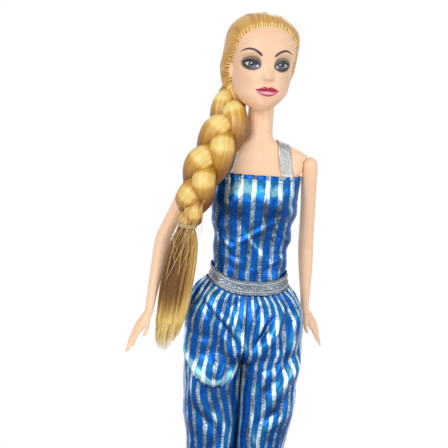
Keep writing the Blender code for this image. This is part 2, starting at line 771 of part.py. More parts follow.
def make_hair_cap(parent):
    """Rooted hair as one shell over the crown, behind the ears and down to the nape."""
    cap = add_piece("hair_cap", loft("hair_cap", [hair_ring(row) for row in hair_rows()]), "hair_fibre", parent)
    rows = [row for row in head_rows() if row[0] > 0]
    fit = loft("scalp_fit", [head_ring(row, CLEARANCE, HEAD_SIDES, False) for row in rows])
    change(cap, add_cutter("scalp_fit", fit, parent))
    change(cap, add_cutter("hairline_form", hairline_mesh(), parent))
    low = (-OVERRUN, -OVERRUN, CHIN_Z - CHIN_DROP)
    high = (OVERRUN, HAIR_BEHIND_EAR, CHIN_Z + EAR_RISE + EAR_HEIGHT / 2 + CLEARANCE)
    change(cap, add_cutter("ear_clearance", block_mesh("ear_clearance", low, high), parent))
    return cap


def curve_through(points, share):
    """Point of a smooth curve through the points, at a share of its run."""
    place = min(max(share, 0), 1) * (len(points) - 1)
    index = min(int(place), len(points) - 2)
    part = place - index
    near = [Vector(points[min(max(index + offset, 0), len(points) - 1)]) for offset in (-1, 0, 1, 2)]
    first, second, third, fourth = near
    return (
        second * 2
        + (third - first) * part
        + (first * 2 - second * 5 + third * 4 - fourth) * part**2
        + (second * 3 - first - third * 3 + fourth) * part**3
    ) / 2


def route_frames(points, count, outward):
    """Place, run, across and outward directions at even shares of a route."""
    frames = []
    for index in range(count):
        share = index / (count - 1)
        step = 0.5 / count
        run = (curve_through(points, share + step) - curve_through(points, share - step)).normalized()
        across = run.cross(outward).normalized()
        frames.append((curve_through(points, share), run, across, across.cross(run).normalized()))
    return frames


def share_in(table, share):
    place = min(max(share, 0), 1) * (len(table) - 1)
    index = min(int(place), len(table) - 2)
    return mean(table[index], table[index + 1], place - index)


def ring_round(centre, across, outward, half_width, half_depth, sides, power=2):
    ring = []
    for step in range(sides):
        x, y = oval_point(math.tau * step / sides, half_width, half_depth, half_depth, power)
        ring.append(centre + across * x + outward * y)
    return ring


def braid_length(frames):
    return sum((b[0] - a[0]).length for a, b in zip(frames, frames[1:]))


def lock_centres(number):
    """Centre line of one lock: it swings across once and in depth twice in each pitch of the braid."""
    frames = route_frames(BRAID_ROUTE, LOCK_RINGS, Vector((-0.25, -1, 0.35)))
    turns = braid_length(frames) / BRAID_PITCH
    centres = []
    for index, (centre, _, across, outward) in enumerate(frames):
        share = index / (LOCK_RINGS - 1)
        width = BRAID_WIDTH * share_in(BRAID_WIDTH_SHARES, share)
        phase = BRAID_START_TURN + math.tau * (turns * share + number / 3)
        swing = across * width * LOCK_SWING_SHARE * math.sin(phase)
        lift = outward * width * LOCK_DEPTH_SHARE * math.sin(2 * phase)
        centres.append((centre + swing + lift, width, outward))
    return centres


def make_braid_lock(number, parent):
    centres = lock_centres(number)
    rings = []
    for index, (centre, width, outward) in enumerate(centres):
        before = centres[max(index - 1, 0)][0]
        after = centres[min(index + 1, len(centres) - 1)][0]
        run = (after - before).normalized()
        across = outward.cross(run).normalized()
        normal = run.cross(across).normalized()
        half, depth = width * LOCK_HALF_SHARE, width * LOCK_THICKNESS_SHARE
        rings.append(ring_round(centre, across, normal, half, depth, LOCK_SIDES))
    add_piece(f"braid_lock_{number + 1}", loft("braid_lock", rings), "hair_fibre", parent)


def tail_top():
    """Where the loose hair starts, just past the ends of the locks."""
    run = (Vector(BRAID_ROUTE[-1]) - Vector(BRAID_ROUTE[-2])).normalized()
    return Vector(BRAID_ROUTE[-1]) + run * TAIL_GAP


def make_elastic(parent):
    """Clear band round the hair below the braid."""
    bpy.ops.mesh.primitive_torus_add(
        major_radius=ELASTIC_RADIUS, minor_radius=ELASTIC_CORD, major_segments=16, minor_segments=6
    )
    band = bpy.context.object
    mesh = band.data
    bpy.data.objects.remove(band)
    mesh.name = "braid_elastic"
    mesh.transform(Matrix.Translation(tail_top() - Vector((0, 0, ELASTIC_DROP))))
    add_piece("braid_elastic", mesh, "clear_elastic", parent)


def make_tail(parent):
    """Loose hair below the elastic, flat and wide, drifting outwards to a tapered tip."""
    top = tail_top()
    rings = []
    for fall, drift, half, depth in TAIL_SHARES:
        centre = top + Vector((-TAIL_DRIFT * drift, 0, -TAIL_LENGTH * fall))
        rings.append(ring_round(centre, Vector((1, 0, 0)), Vector((0, -1, 0)), TAIL_HALF * half, TAIL_DEPTH * depth, 12))
    add_piece("hair_tail", loft("hair_tail", rings), "hair_fibre", parent)


def make_shoulder_peg(name, side, parent):
    """Peg with a flange inside the torso and a hinge tongue and pin outside it, about the swing axis."""
    face = -side * PIVOT_OUT
    inner = face - side * (VINYL_WALL + CLEARANCE)
    rod = rod_mesh("peg", PEG_FLANGE, (inner - side * PEG_FLANGE_THICKNESS, 0, 0), (inner, 0, 0))
    peg = add_piece(f"{name}_shoulder_peg", rod, "inner_plastic", parent)
    half = TONGUE_THICKNESS / 2
    stem_end = face
    stem = rod_mesh("peg_stem", PEG_STEM, (inner - side * PEG_FLANGE_THICKNESS / 2, 0, 0), (stem_end, 0, 0))
    corners = [(stem_end - side * CLOTH, -half, -TONGUE_RADIUS * 0.8), (0, half, TONGUE_RADIUS * 0.8)]
    low = [min(values) for values in zip(*corners)]
    high = [max(values) for values in zip(*corners)]
    shapes = {
        "stem": stem,
        "tongue": block_mesh("tongue", low, high),
        "tongue_end": rod_mesh("tongue_end", TONGUE_RADIUS, (0, -half, 0), (0, half, 0)),
        "hinge_pin": rod_mesh("hinge_pin", HINGE_PIN, (0, -HINGE_PIN_LENGTH / 2, 0), (0, HINGE_PIN_LENGTH / 2, 0), 8),
    }
    for key, mesh in shapes.items():
        change(peg, add_cutter(f"{name}_peg_{key}", mesh, parent), "UNION")


def arm_frames(side, lean):
    """Centre, across, outward, half width and half depth along the arm, about its hinge."""
    down = Vector((0, 0, -1))
    bend = Matrix.Rotation(-ELBOW_BEND, 3, "X")
    tilt = Matrix.Rotation(-side * lean, 3, "Y")
    fore = tilt @ bend @ down
    elbow = down * UPPER_ARM
    wrist = elbow + fore * FOREARM
    hand = Matrix.Rotation(-side * HAND_SPLAY, 3, "Y") @ fore
    hand_turn = Matrix.Rotation(side * HAND_TURN, 3, "Z")
    rows = [
        (down * -ARM_HEAD * 0.98, 0.18, 0.4, 0),
        (down * -ARM_HEAD * 0.78, 0.61, 0.79, 0),
        (down * -ARM_HEAD * 0.38, 0.92, 0.97, 0),
        (down * ARM_HEAD * 0.3, 1, 1, 0),
    ]
    frames = [
        (centre, ARM_HEAD * across, ARM_HEAD_HALF_DEPTH * depth, turn) for centre, across, depth, turn in rows
    ]
    frames += [
        (down * UPPER_ARM * 0.22, ARM_HEAD * 1.02, ARM_HEAD_HALF_DEPTH * 0.96, 0),
        (down * UPPER_ARM * 0.5, mean(ARM_HEAD, ELBOW_RADIUS), ARM_HEAD_HALF_DEPTH * 0.9, 0),
        (down * UPPER_ARM * 0.86, ELBOW_RADIUS * 0.96, ELBOW_RADIUS * 0.96, 0),
        (elbow + (fore - down) * ELBOW_RADIUS * 0.25, ELBOW_RADIUS, ELBOW_RADIUS, 0),
        (elbow + fore * FOREARM * 0.16, ELBOW_RADIUS * 0.97, ELBOW_RADIUS * 0.97, 0),
        (elbow + fore * FOREARM * 0.45, mean(ELBOW_RADIUS, WRIST_RADIUS, 0.35), mean(ELBOW_RADIUS, WRIST_RADIUS, 0.35), 0.1),
        (elbow + fore * FOREARM * 0.8, mean(ELBOW_RADIUS, WRIST_RADIUS, 0.85), mean(ELBOW_RADIUS, WRIST_RADIUS, 0.88), 0.5),
        (wrist, WRIST_RADIUS * 1.05, WRIST_RADIUS * 0.85, 1),
        (wrist + hand * HAND_LENGTH * 0.3, PALM_HALF * 0.85, PALM_HALF_THICKNESS * 1.1, 1),
        (wrist + hand * HAND_LENGTH * 0.62, PALM_HALF, PALM_HALF_THICKNESS, 1),
        (wrist + hand * HAND_LENGTH * 0.92, PALM_HALF * 0.97, PALM_HALF_THICKNESS * 0.8, 1),
    ]
    elbow_run, wrist_run = (fore + down).normalized(), (fore + hand).normalized()
    runs = [down] * 7 + [elbow_run] + [fore] * 3 + [wrist_run] + [hand] * 3
    return frames, runs, wrist, hand, hand_turn


def taper_mesh(name, start, end, across, radius, sides=6):
    """Finger: a tapered tube with a rounded tip."""
    run = end - start
    outward = run.normalized().cross(across).normalized()
    rings = []
    for share, size in ((0, 1), (0.5, 0.98), (0.86, 0.8), (1, 0.4)):
        rings.append(ring_round(start + run * share, across, outward, radius * size, radius * size, sides))
    return loft(name, rings)


def make_arm(name, side, lean, parent):
    """Arm with its hand in one moulding, slotted at the shoulder for the peg's tongue."""
    frames, runs, wrist, hand, hand_turn = arm_frames(side, lean)
    rings = []
    for (centre, half, depth, turn), run in zip(frames, runs):
        across = Matrix.Rotation(side * HAND_TURN * turn, 3, "Z") @ Vector((1, 0, 0))
        outward = across.cross(run).normalized()
        across = run.cross(outward).normalized()
        rings.append(ring_round(centre, across, -outward, half, depth, 14, 2.1))
    arm = add_piece(f"{name}_arm", loft("arm", rings), "vinyl_skin", parent)
    across = hand_turn @ Vector((1, 0, 0))
    across = (across - hand * across.dot(hand)).normalized()
    knuckles = wrist + hand * HAND_LENGTH * 0.85
    shapes = []
    lengths = (0.9, 1, 0.96, 0.78)
    for finger, length in enumerate(lengths):
        place = (finger - 1.5) / 1.5
        start = knuckles + across * place * (PALM_HALF - FINGER_RADIUS * 1.1)
        tip = start + (hand - across * place * 0.03).normalized() * FINGER_LENGTH * length
        shapes.append((f"finger_{finger + 1}", taper_mesh("finger", start, tip, across, FINGER_RADIUS)))
    thumb_side = across * -side
    thumb_start = wrist + hand * HAND_LENGTH * 0.3 + thumb_side * PALM_HALF * 0.55
    thumb_tip = thumb_start + (hand * 0.82 + thumb_side * 0.58).normalized() * THUMB_LENGTH
    shapes.append(("thumb", taper_mesh("thumb", thumb_start, thumb_tip, across, THUMB_RADIUS)))
    for key, mesh in shapes:
        change(arm, add_cutter(f"{name}_{key}", mesh, parent), "UNION")
    slot = TONGUE_THICKNESS / 2 + CLEARANCE
    reach = ARM_HEAD * 2
    corners = [(-side * reach, -slot, -TONGUE_RADIUS - CLEARANCE), (side * TONGUE_RADIUS, slot, reach)]
    low = [min(values) for values in zip(*corners)]
    high = [max(values) for values in zip(*corners)]
    radius = TONGUE_RADIUS + CLEARANCE
    inner_slot = slot * 0.96
    round_slot = rod_mesh("round_slot", radius, (0, -inner_slot, 0), (0, inner_slot, 0))
    change(arm, add_cutter(f"{name}_round_slot", round_slot, parent))
    half = HINGE_PIN_LENGTH / 2 + CLEARANCE
    bore = rod_mesh("pin_bore", HINGE_PIN + CLEARANCE, (0, -half, 0), (0, half, 0), 8)
    change(arm, add_cutter(f"{name}_pin_bore", bore, parent))
    change(arm, add_cutter(f"{name}_arm_slot", block_mesh("arm_slot", low, high), parent))


def leg_rows(grow=0):
    """Height, centre x, half width, front and back depth of each section of the left leg."""
    disc = HIP_DISC
    outer = HIP_HALF
    inner = PELVIS_HALF + CLEARANCE
    hip_x, hip_half = (outer + inner) / 2, (outer - inner) / 2
    thigh_z = HIP_Z - disc - RUNNING_GAP
    rows = []
    for degrees in (4, 25, 48, 68):
        angle = math.radians(degrees)
        height, depth = HIP_Z + disc * math.cos(angle), disc * math.sin(angle)
        rows.append((height, hip_x, hip_half * 0.97, min(depth, HIP_FRONT), min(depth, HIP_BACK)))
    foot_y = -FOOT_FRONT
    rows += [
        (HIP_Z, hip_x, hip_half, HIP_FRONT, HIP_BACK),
        (thigh_z, FOOT_APART, THIGH_HALF, THIGH_FRONT, THIGH_BACK),
        (mean(thigh_z, KNEE_Z, 0.5), FOOT_APART, mean(THIGH_HALF, KNEE_HALF, 0.45), THIGH_FRONT * 0.84, THIGH_BACK * 0.76),
        (KNEE_Z, FOOT_APART, KNEE_HALF, KNEE_HALF * 1.05, KNEE_HALF * 0.95),
        (CALF_Z, FOOT_APART, KNEE_HALF * 0.96, KNEE_HALF * 0.8, CALF_BACK),
        (mean(CALF_Z, ANKLE_Z, 0.55), FOOT_APART, mean(KNEE_HALF, ANKLE_HALF, 0.6), ANKLE_HALF * 1.15, mean(CALF_BACK, ANKLE_HALF, 0.5)),
        (ANKLE_Z, FOOT_APART, ANKLE_HALF, ANKLE_HALF, ANKLE_HALF * 1.06),
        (mean(ANKLE_Z, HEEL_RISE, 0.5), FOOT_APART, ANKLE_HALF * 1.02, ANKLE_HALF * 1.8, FOOT_BACK * 0.96),
    ]
    low = HEEL_RISE - TOE_RISE
    rows += [
        (HEEL_RISE + low * 0.12, FOOT_APART, FOOT_HALF * 0.88, -foot_y * 0.62, FOOT_BACK),
        (HEEL_RISE - low * 0.16, FOOT_APART, FOOT_HALF * 0.92, -foot_y * 0.8, FOOT_BACK * 0.1),
        (HEEL_RISE - low * 0.5, FOOT_APART, FOOT_HALF, -foot_y * 0.94, foot_y * 0.3),
        (HEEL_RISE - low * 0.8, FOOT_APART, FOOT_HALF, -foot_y, foot_y * 0.5),
        (TOE_RISE, FOOT_APART, FOOT_HALF * 0.8, -foot_y * 0.96, foot_y * 0.62),
    ]
    return [
        (height, x, half + grow, front + grow, back + grow) for height, x, half, front, back in reversed(rows)
    ]


def leg_ring(row, side, sides=LEG_SIDES, power=2.2):
    height, centre_x, half, front, back = row
    centre_y, half_depth = (back - front) / 2, (back + front) / 2
    ring = []
    for step in range(sides):
        x, y = oval_point(math.tau * step / sides, half, half_depth, half_depth, power)
        ring.append(Vector((side * centre_x + x, centre_y + y, height)))
    return ring


def in_hip_frame(points):
    return [point - Vector((0, 0, HIP_Z)) for point in points]


def make_leg(name, side, parent):
    """Leg whose hip disc turns beside the pelvis, with a bore and pocket for the spindle tip."""
    rings = [in_hip_frame(leg_ring(row, side)) for row in leg_rows()]
    leg = add_piece(f"{name}_leg", loft("leg", rings), "vinyl_skin", parent)
    face = side * (PELVIS_HALF + CLEARANCE * 1.5)
    corners = [(-side * OVERRUN, -OVERRUN, -HIP_DISC - RUNNING_GAP), (face, OVERRUN, OVERRUN)]
    low = [min(values) for values in zip(*corners)]
    high = [max(values) for values in zip(*corners)]
    change(leg, add_cutter(f"{name}_leg_inner_side", block_mesh("leg_inner_side", low, high), parent))
    neck = side * (SPINDLE_REACH - SPINDLE_TIP_LENGTH - CLEARANCE)
    tip = side * (SPINDLE_REACH + CLEARANCE)
    bore = rod_mesh("leg_bore", SPINDLE_RADIUS + CLEARANCE, (0, 0, 0), (neck + side * CLOTH, 0, 0))
    pocket = rod_mesh("leg_pocket", SPINDLE_TIP + CLEARANCE, (neck, 0, 0), (tip, 0, 0))
    change(leg, add_cutter(f"{name}_leg_bore", bore, parent))
    change(leg, add_cutter(f"{name}_leg_pocket", pocket, parent))


def make_shoe(name, side, parent):
    """Wedge shoe: a flat sole, a closed toe and a low cut mouth, hollowed for the foot."""
    front, back = FOOT_FRONT + SHOE_WALL, FOOT_BACK + SHOE_WALL
    half = FOOT_HALF + SHOE_WALL
    shares = [
        (0, 0.94, 0.96, 1),
        (0.06, 1, 1, 1.04),
        (0.35, 1, 1, 1),
        (0.52, 0.98, 0.95, 0.98),
        (0.72, 0.95, 0.84, 0.98),
        (0.88, 0.9, 0.7, 1),
        (1, 0.86, 0.56, 1),
    ]
    rows = [
        (SHOE_TOP * rise, FOOT_APART, half * wide, front * fore, back * aft) for rise, wide, fore, aft in shares
    ]
    rings = [in_hip_frame(leg_ring(row, side, 16, 2.4)) for row in rows]
    shoe = add_piece(f"{name}_shoe", loft("shoe", rings), "shoe_plastic", parent)
    foot_rows = [row for row in leg_rows(CLEARANCE) if row[0] < ANKLE_Z + CLEARANCE]
    lowest = (foot_rows[0][0] - CLEARANCE,) + foot_rows[0][1:]
    foot = loft("foot_fit", [in_hip_frame(leg_ring(row, side)) for row in [lowest] + foot_rows[1:]])
    change(shoe, add_cutter(f"{name}_foot_fit", foot, parent))
    mouth = [
        (-front * 0.62, SHOE_MOUTH),
        (FOOT_BACK * 0.4, SHOE_TOP * 0.93),
        (OVERRUN, SHOE_TOP * 0.93),
        (OVERRUN, SHOE_TOP * 2),
        (-front * 0.62, SHOE_TOP * 2),
    ]
    wide = side * FOOT_APART
    rings = [
        in_hip_frame([Vector((wide + x, y, z)) for y, z in mouth]) for x in (-half * 2, half * 2)
    ]
    change(shoe, add_cutter(f"{name}_shoe_mouth", loft("shoe_mouth", rings), parent))


def panel_rows(heights, first, last, grow):
    """Rows of points on the torso's facets between two ring steps, which may run past a full turn."""
    steps = [first] + [step for step in range(math.ceil(first + 0.15), math.floor(last - 0.15) + 1)] + [last]
    return [[body_point(height, step, grow) for step in steps] for height in heights]


def make_bodice(parent):
    """Strapless bodice: one front panel and two back panels, which a closure joins."""
    low = BELT_Z - BELT_HEIGHT / 2 + CLEARANCE
    high = SHOULDER_Z - NECKLINE_DROP
    heights = body_heights(low, high)
    grow = CLEARANCE
    side_gap = SEAM_GAP / (WAIST_HALF * math.tau / BODY_SIDES)
    half_turn = BODY_SIDES / 2
    full = BODY_SIDES
    closure = CLOSURE_HALF + CLEARANCE
    edges = [step_at(closure, height, True) for height in heights]
    front = panel_rows(heights, half_turn + side_gap, full - side_gap, grow)
    piece = add_piece("bodice_front", open_grid("bodice_front", front), "foil_cloth", parent)
    thicken(piece, CLOTH)
    quarter = BODY_SIDES / 4
    inner = [quarter - step for step in range(2, int(quarter) + 1)]
    left = []
    right = []
    for height, edge in zip(heights, edges):
        steps = [0] + [step for step in sorted(inner) if step > 0] + [edge]
        left.append([body_point(height, step, grow) for step in steps])
        right.append([body_point(height, half_turn - step, grow) for step in reversed(steps)])
    for name, rows in (("bodice_back_left", left), ("bodice_back_right", right)):
        piece = add_piece(name, open_grid(name, rows), "foil_cloth", parent)
        thicken(piece, CLOTH)
    strips = (("closure_loop_strip", grow), ("closure_hook_strip", grow * 2 + CLOTH))
    closed_heights = body_heights(BELT_Z + BELT_HEIGHT / 2 + CLEARANCE, high)
    for name, height_over in strips:
        rows = []
        for height in closed_heights:
            steps = [step_at(x, height, True) for x in (CLOSURE_HALF, 0, -CLOSURE_HALF)]
            rows.append([body_point(height, step, height_over) for step in steps])
        piece = add_piece(name, open_grid(name, rows), "hook_and_loop", parent)
        thicken(piece, CLOTH)


def torso_surface():
    """The torso's facets, for finding where a ray from inside meets them."""
    points = [row_point(row, step, 0) for row in BODY_ROWS for step in range(BODY_SIDES)]
    return BVHTree.FromPolygons(points, grid_faces(len(BODY_ROWS), BODY_SIDES, True))


def make_strap(name, side, parent):
    """Ribbon over the shoulder, from the front of the neckline to the back."""
    surface = torso_surface()
    low = SHOULDER_Z - NECKLINE_DROP + CLEARANCE
    grow = CLEARANCE + CLOTH
    count = 17
    rows = []
    for index in range(count):
        share = index / (count - 1)
        across = 2 * share
        if across < 1:
            middle = mean(STRAP_FRONT_X, STRAP_TOP_X, across)
        else:
            middle = mean(STRAP_TOP_X, STRAP_BACK_X, across - 1)
        way = Vector((0, -math.cos(math.pi * share), math.sin(math.pi * share)))
        row = []
        for part in (-0.5, -0.17, 0.17, 0.5):
            start = Vector((side * (middle + STRAP_WIDTH * part), 0, low))
            place, normal, _, _ = surface.ray_cast(start, way)
            row.append(place + way * grow / max(way.dot(normal), 0.5))
        rows.append(row if side > 0 else row[::-1])
    piece = add_piece(f"{name}_strap", open_grid("strap", rows), "silver_ribbon", parent)
    thicken(piece, STRAP_THICKNESS)


def belt_sag(angle):
    return BELT_SAG * max(0, -math.sin(angle))


def make_belt(parent):
    """Ribbon belt that hugs the waist seam, sagging a little at the front."""
    grow = CLEARANCE * 2 + CLOTH
    rows = []
    for share in (-0.5, 0, 0.5):
        row = []
        for step in range(BODY_SIDES):
            height = BELT_Z + BELT_HEIGHT * share - belt_sag(math.tau * step / BODY_SIDES)
            row.append(body_point(height, step, grow))
        rows.append(row)
    piece = add_piece("belt", open_grid("belt", rows, True), "silver_ribbon", parent)
    thicken(piece, BELT_THICKNESS)


def trouser_rows():
    """Height, inner x, outer x, front and back depth of the left half of the trousers."""
    drop = CROTCH_Z - CUFF_Z
    top = BELT_Z - BELT_HEIGHT / 2 - CLEARANCE
    rise = top - CROTCH_Z
    gather = CLEARANCE * 2 + CLOTH
    start = mean(BELT_HALF, HIP_HALF, 0.25) + gather
    rows = [
        (top, 0, start, BELT_FRONT + gather, BELT_BACK + gather),
        (top - rise * 0.12, 0, mean(start, TROUSER_HALF, 0.45), mean(BELT_FRONT, TROUSER_FRONT, 0.45), mean(BELT_BACK, TROUSER_BACK, 0.45)),
        (top - rise * 0.3, 0, mean(start, TROUSER_HALF, 0.82), mean(BELT_FRONT, TROUSER_FRONT, 0.8), mean(BELT_BACK, TROUSER_BACK, 0.8)),
        (top - rise * 0.65, 0, TROUSER_HALF, TROUSER_FRONT, TROUSER_BACK),
        (CROTCH_Z, 0, TROUSER_HALF * 0.99, TROUSER_FRONT, TROUSER_BACK),
    ]
    shares = [
        (0.1, 0.96, 0.97, 0.97),
        (0.22, 0.93, 0.93, 0.93),
        (0.34, 0.85, 0.88, 0.88),
        (0.47, 0.8, 0.83, 0.84),
        (0.6, 0.77, 0.78, 0.8),
        (0.73, 0.73, 0.72, 0.72),
        (0.86, 0.69, 0.62, 0.6),
        (0.95, 0.65, 0.5, 0.5),
    ]
    for fall, outer, front, back in shares:
        rows.append((CROTCH_Z - drop * fall, 0, TROUSER_HALF * outer, TROUSER_FRONT * front, TROUSER_BACK * back))
    cuff_outer = FOOT_APART + CUFF_HALF
    rows.append((CUFF_Z, FOOT_APART - CUFF_HALF, cuff_outer, CUFF_HALF * 1.1, CUFF_HALF * 1.1))
    return sorted(rows)


def fold(angle, height, side):
    """Cloth folds: ridges that wander round the trousers as they fall."""
    wander = 1.2 * math.sin(math.tau * height / (FOLD_PITCH * 2.3) + side)
    ridges = math.sin(FOLDS_ROUND * angle + wander + math.tau * height / (FOLD_PITCH * 3.1))
    bands = math.sin(2 * angle + math.tau * height / FOLD_PITCH + side)
    return FOLD_DEPTH * (0.6 * ridges + 0.5 * bands)


def trouser_point(height, angle, side, closed):
    """Point of the trousers; closed wraps a leg, and open wraps a half of the seat."""
    _, inner, outer, front, back = blend_rows(TROUSER_ROWS, height)
    swell = fold(angle, height, side) * min(1, (BELT_Z - height) / FOLD_PITCH * 2)
    if closed:
        inner = max(inner, SEAM_GAP + CLOTH + FOLD_DEPTH * 0.2)
        fall = (CROTCH_Z - height) / (CROTCH_Z - CUFF_Z)
        inner = max(inner, SEAM_GAP + CLOTH + FOLD_DEPTH + (FOOT_APART - CUFF_HALF - CLOTH * 4) * max(0, fall - 0.45) * 1.6)
        half, centre = (outer - inner) / 2, (outer + inner) / 2
        x, y = oval_point(angle, half, front, back, mean(3, 2.2, fall))
        x += centre
        if math.cos(angle) < -0.2:
            swell *= 0.2
    else:
        half = outer
        x, y = oval_point(angle, half, front, back, 2.3)
    length = math.hypot(x, y)
    x += swell * math.cos(angle)
    y += swell * math.sin(angle)
    return Vector((side * x, y, height))


def make_trouser_seat(name, side, parent):
    """Half of the seat, from the belt to the crotch, open at the centre seam."""
    top = TROUSER_ROWS[-1][0]
    low = CROTCH_Z + CLEARANCE
    count = 7
    rows = []
    for share in (index / (count - 1) for index in range(count)):
        gap = SEAM_GAP / TROUSER_HALF
        limits = (-math.pi / 2 + gap * 1.5, math.pi / 2 - gap * 1.5)
        row = []
        for index in range(15):
            angle = mean(*limits, index / 14)
            point = trouser_point(mean(low, top, share), angle, side, False)
            point.z -= belt_sag(angle) * share
            row.append(point)
        for end in (0, -1):
            row[end].x = side * SEAM_GAP
        rows.append(row if side > 0 else row[::-1])
    piece = add_piece(f"{name}_trouser_seat", open_grid("trouser_seat", rows), "foil_cloth", parent)
    thicken(piece, CLOTH)


def make_trouser_leg(name, side, parent):
    """Trouser leg from the crotch to the gathered cuff."""
    count = 14
    heights = [mean(CUFF_Z, CROTCH_Z, index / (count - 1)) for index in range(count)]
    rows = []
    for height in heights:
        row = [
            trouser_point(height, math.tau * index / TROUSER_SIDES, side, True) for index in range(TROUSER_SIDES)
        ]
        rows.append(in_hip_frame(row if side > 0 else row[::-1]))
    piece = add_piece(f"{name}_trouser_leg", open_grid("trouser_leg", rows, True), "foil_cloth", parent)
    thicken(piece, CLOTH)


def make_cuff(name, side, parent):
    """Narrow hem band round the ankle, below the gathers."""
    rows = []
    for share in (1, 0):
        height = CUFF_Z - CLEARANCE - CUFF_HEIGHT * share
        row = []
        for index in range(20):
            x, y = oval_point(math.tau * index / 20, CUFF_HALF, CUFF_HALF * 1.1, CUFF_HALF * 1.1, 2)
            row.append(Vector((side * FOOT_APART + x, y, height)))
        rows.append(in_hip_frame(row))
    piece = add_piece(f"{name}_cuff", open_grid("cuff", rows, True), "foil_cloth", parent)
    thicken(piece, CLOTH)


def cut_braid_root(cap, parent):
    """Pocket in the hair behind the ear, where the braid starts."""
    start = Vector(BRAID_ROUTE[0])
    half = BRAID_WIDTH * BRAID_WIDTH_SHARES[0] / 2 + CLEARANCE * 2
    run = (Vector(BRAID_ROUTE[1]) - start).normalized()
    shape = rod_mesh("braid_root", half, start - run * CLEARANCE * 2, start + run * OVERRUN / 3, 16, half * 1.6)
    change(cap, add_cutter("braid_root", shape, parent))


def stand_on_origin(root):
    """Moves the root so that the bounding box stands on the origin, centred."""
    bpy.context.view_layer.update()
    graph = bpy.context.evaluated_depsgraph_get()
    corners = []
    for piece in PARTS.objects:
        if piece.type != "MESH":
            continue
        evaluated = piece.evaluated_get(graph)
        mesh = evaluated.to_mesh()
        points = np.empty(len(mesh.vertices) * 3)
        mesh.vertices.foreach_get("co", points)
        evaluated.to_mesh_clear()
        place = np.array(evaluated.matrix_world)
        points = points.reshape(-1, 3) @ place[:3, :3].T + place[:3, 3]
        corners += [points.min(0), points.max(0)]
    low, high = np.min(corners, 0), np.max(corners, 0)
    root.location = (-(low[0] + high[0]) / 2, -(low[1] + high[1]) / 2, -low[2])


def build():
    root = empty("doll", (0, 0, 0))
    neck = empty("neck_turn", (0, 0, 0), root, (0, 0, HEAD_TURN))
    make_torso(root)
    make_neck_knob(root)
    make_hip_spindle(root)
    make_head(neck)
    cap = make_hair_cap(neck)
    cut_braid_root(cap, root)
    for number in range(3):
        make_braid_lock(number, root)
    make_elastic(root)
    make_tail(root)
    arms = (
        ("left", 1, LEFT_SWING, LEFT_RAISE, LEFT_FOREARM_LEAN),
        ("right", -1, RIGHT_SWING, RIGHT_RAISE, RIGHT_FOREARM_LEAN),
    )
    for name, side, swung, raised, lean in arms:
        pivot = (side * (SHOULDER_HALF + PIVOT_OUT), 0, SHOULDER_Z)
        swing = empty(f"{name}_shoulder_swing", pivot, root, (swung, 0, 0))
        make_shoulder_peg(name, side, swing)
        raise_axis = empty(f"{name}_arm_raise", (0, 0, 0), swing, (0, -side * raised, 0))
        make_arm(name, side, lean, raise_axis)
        hip = empty(f"{name}_hip_swing", (0, 0, HIP_Z), root)
        make_leg(name, side, hip)
        make_shoe(name, side, hip)
        make_trouser_seat(name, side, root)
        make_trouser_leg(name, side, hip)
        make_cuff(name, side, hip)
        make_strap(name, side, root)
    make_bodice(root)
    make_belt(root)
    stand_on_origin(root)


clear_scene()
PARTS = new_collection("fashion_doll")
CUTTERS = new_collection("cutters")
BODY_ROWS = body_rows()
TROUSER_ROWS = trouser_rows()
build()
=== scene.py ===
"""Looks of the fashion doll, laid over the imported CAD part.

Metres, +Z up; the doll faces -Y and its left is +X.
"""

import math

import bpy
import numpy as np
from bpy.props import FloatProperty, FloatVectorProperty, IntProperty, PointerProperty
from mathutils import Matrix, Vector, noise
from mathutils.bvhtree import BVHTree


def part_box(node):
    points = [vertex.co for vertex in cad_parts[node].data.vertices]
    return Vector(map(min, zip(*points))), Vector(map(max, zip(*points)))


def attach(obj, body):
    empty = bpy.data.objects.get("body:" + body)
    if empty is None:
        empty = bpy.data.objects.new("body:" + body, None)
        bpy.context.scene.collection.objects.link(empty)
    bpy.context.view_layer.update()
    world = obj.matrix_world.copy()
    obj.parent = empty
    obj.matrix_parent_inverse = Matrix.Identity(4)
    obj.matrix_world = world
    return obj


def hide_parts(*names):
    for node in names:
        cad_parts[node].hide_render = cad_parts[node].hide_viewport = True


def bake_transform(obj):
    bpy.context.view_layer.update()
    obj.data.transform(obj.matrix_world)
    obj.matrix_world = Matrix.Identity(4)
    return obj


bl_info = {
    "name": "Dressed fashion doll",
    "version": (1, 0, 0),
    "blender": (4, 5, 0),
    "location": "3D View > Sidebar > Doll",
    "description": "Skin, painted face, braided hair and foil suit of a fashion doll",
    "category": "Object",
}

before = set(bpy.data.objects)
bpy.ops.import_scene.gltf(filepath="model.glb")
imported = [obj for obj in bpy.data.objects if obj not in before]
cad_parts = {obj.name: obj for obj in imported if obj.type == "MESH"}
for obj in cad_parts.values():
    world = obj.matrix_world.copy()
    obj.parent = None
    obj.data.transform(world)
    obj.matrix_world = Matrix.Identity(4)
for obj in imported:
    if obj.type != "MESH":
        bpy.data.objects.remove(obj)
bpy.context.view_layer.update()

MM = 0.001
BOX_LOW, BOX_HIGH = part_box("torso_front")
ROOT = Vector(((BOX_LOW.x + BOX_HIGH.x) / 2, BOX_HIGH.y + 0.15 * MM, 0))
SIDES = (("left", 1), ("right", -1))

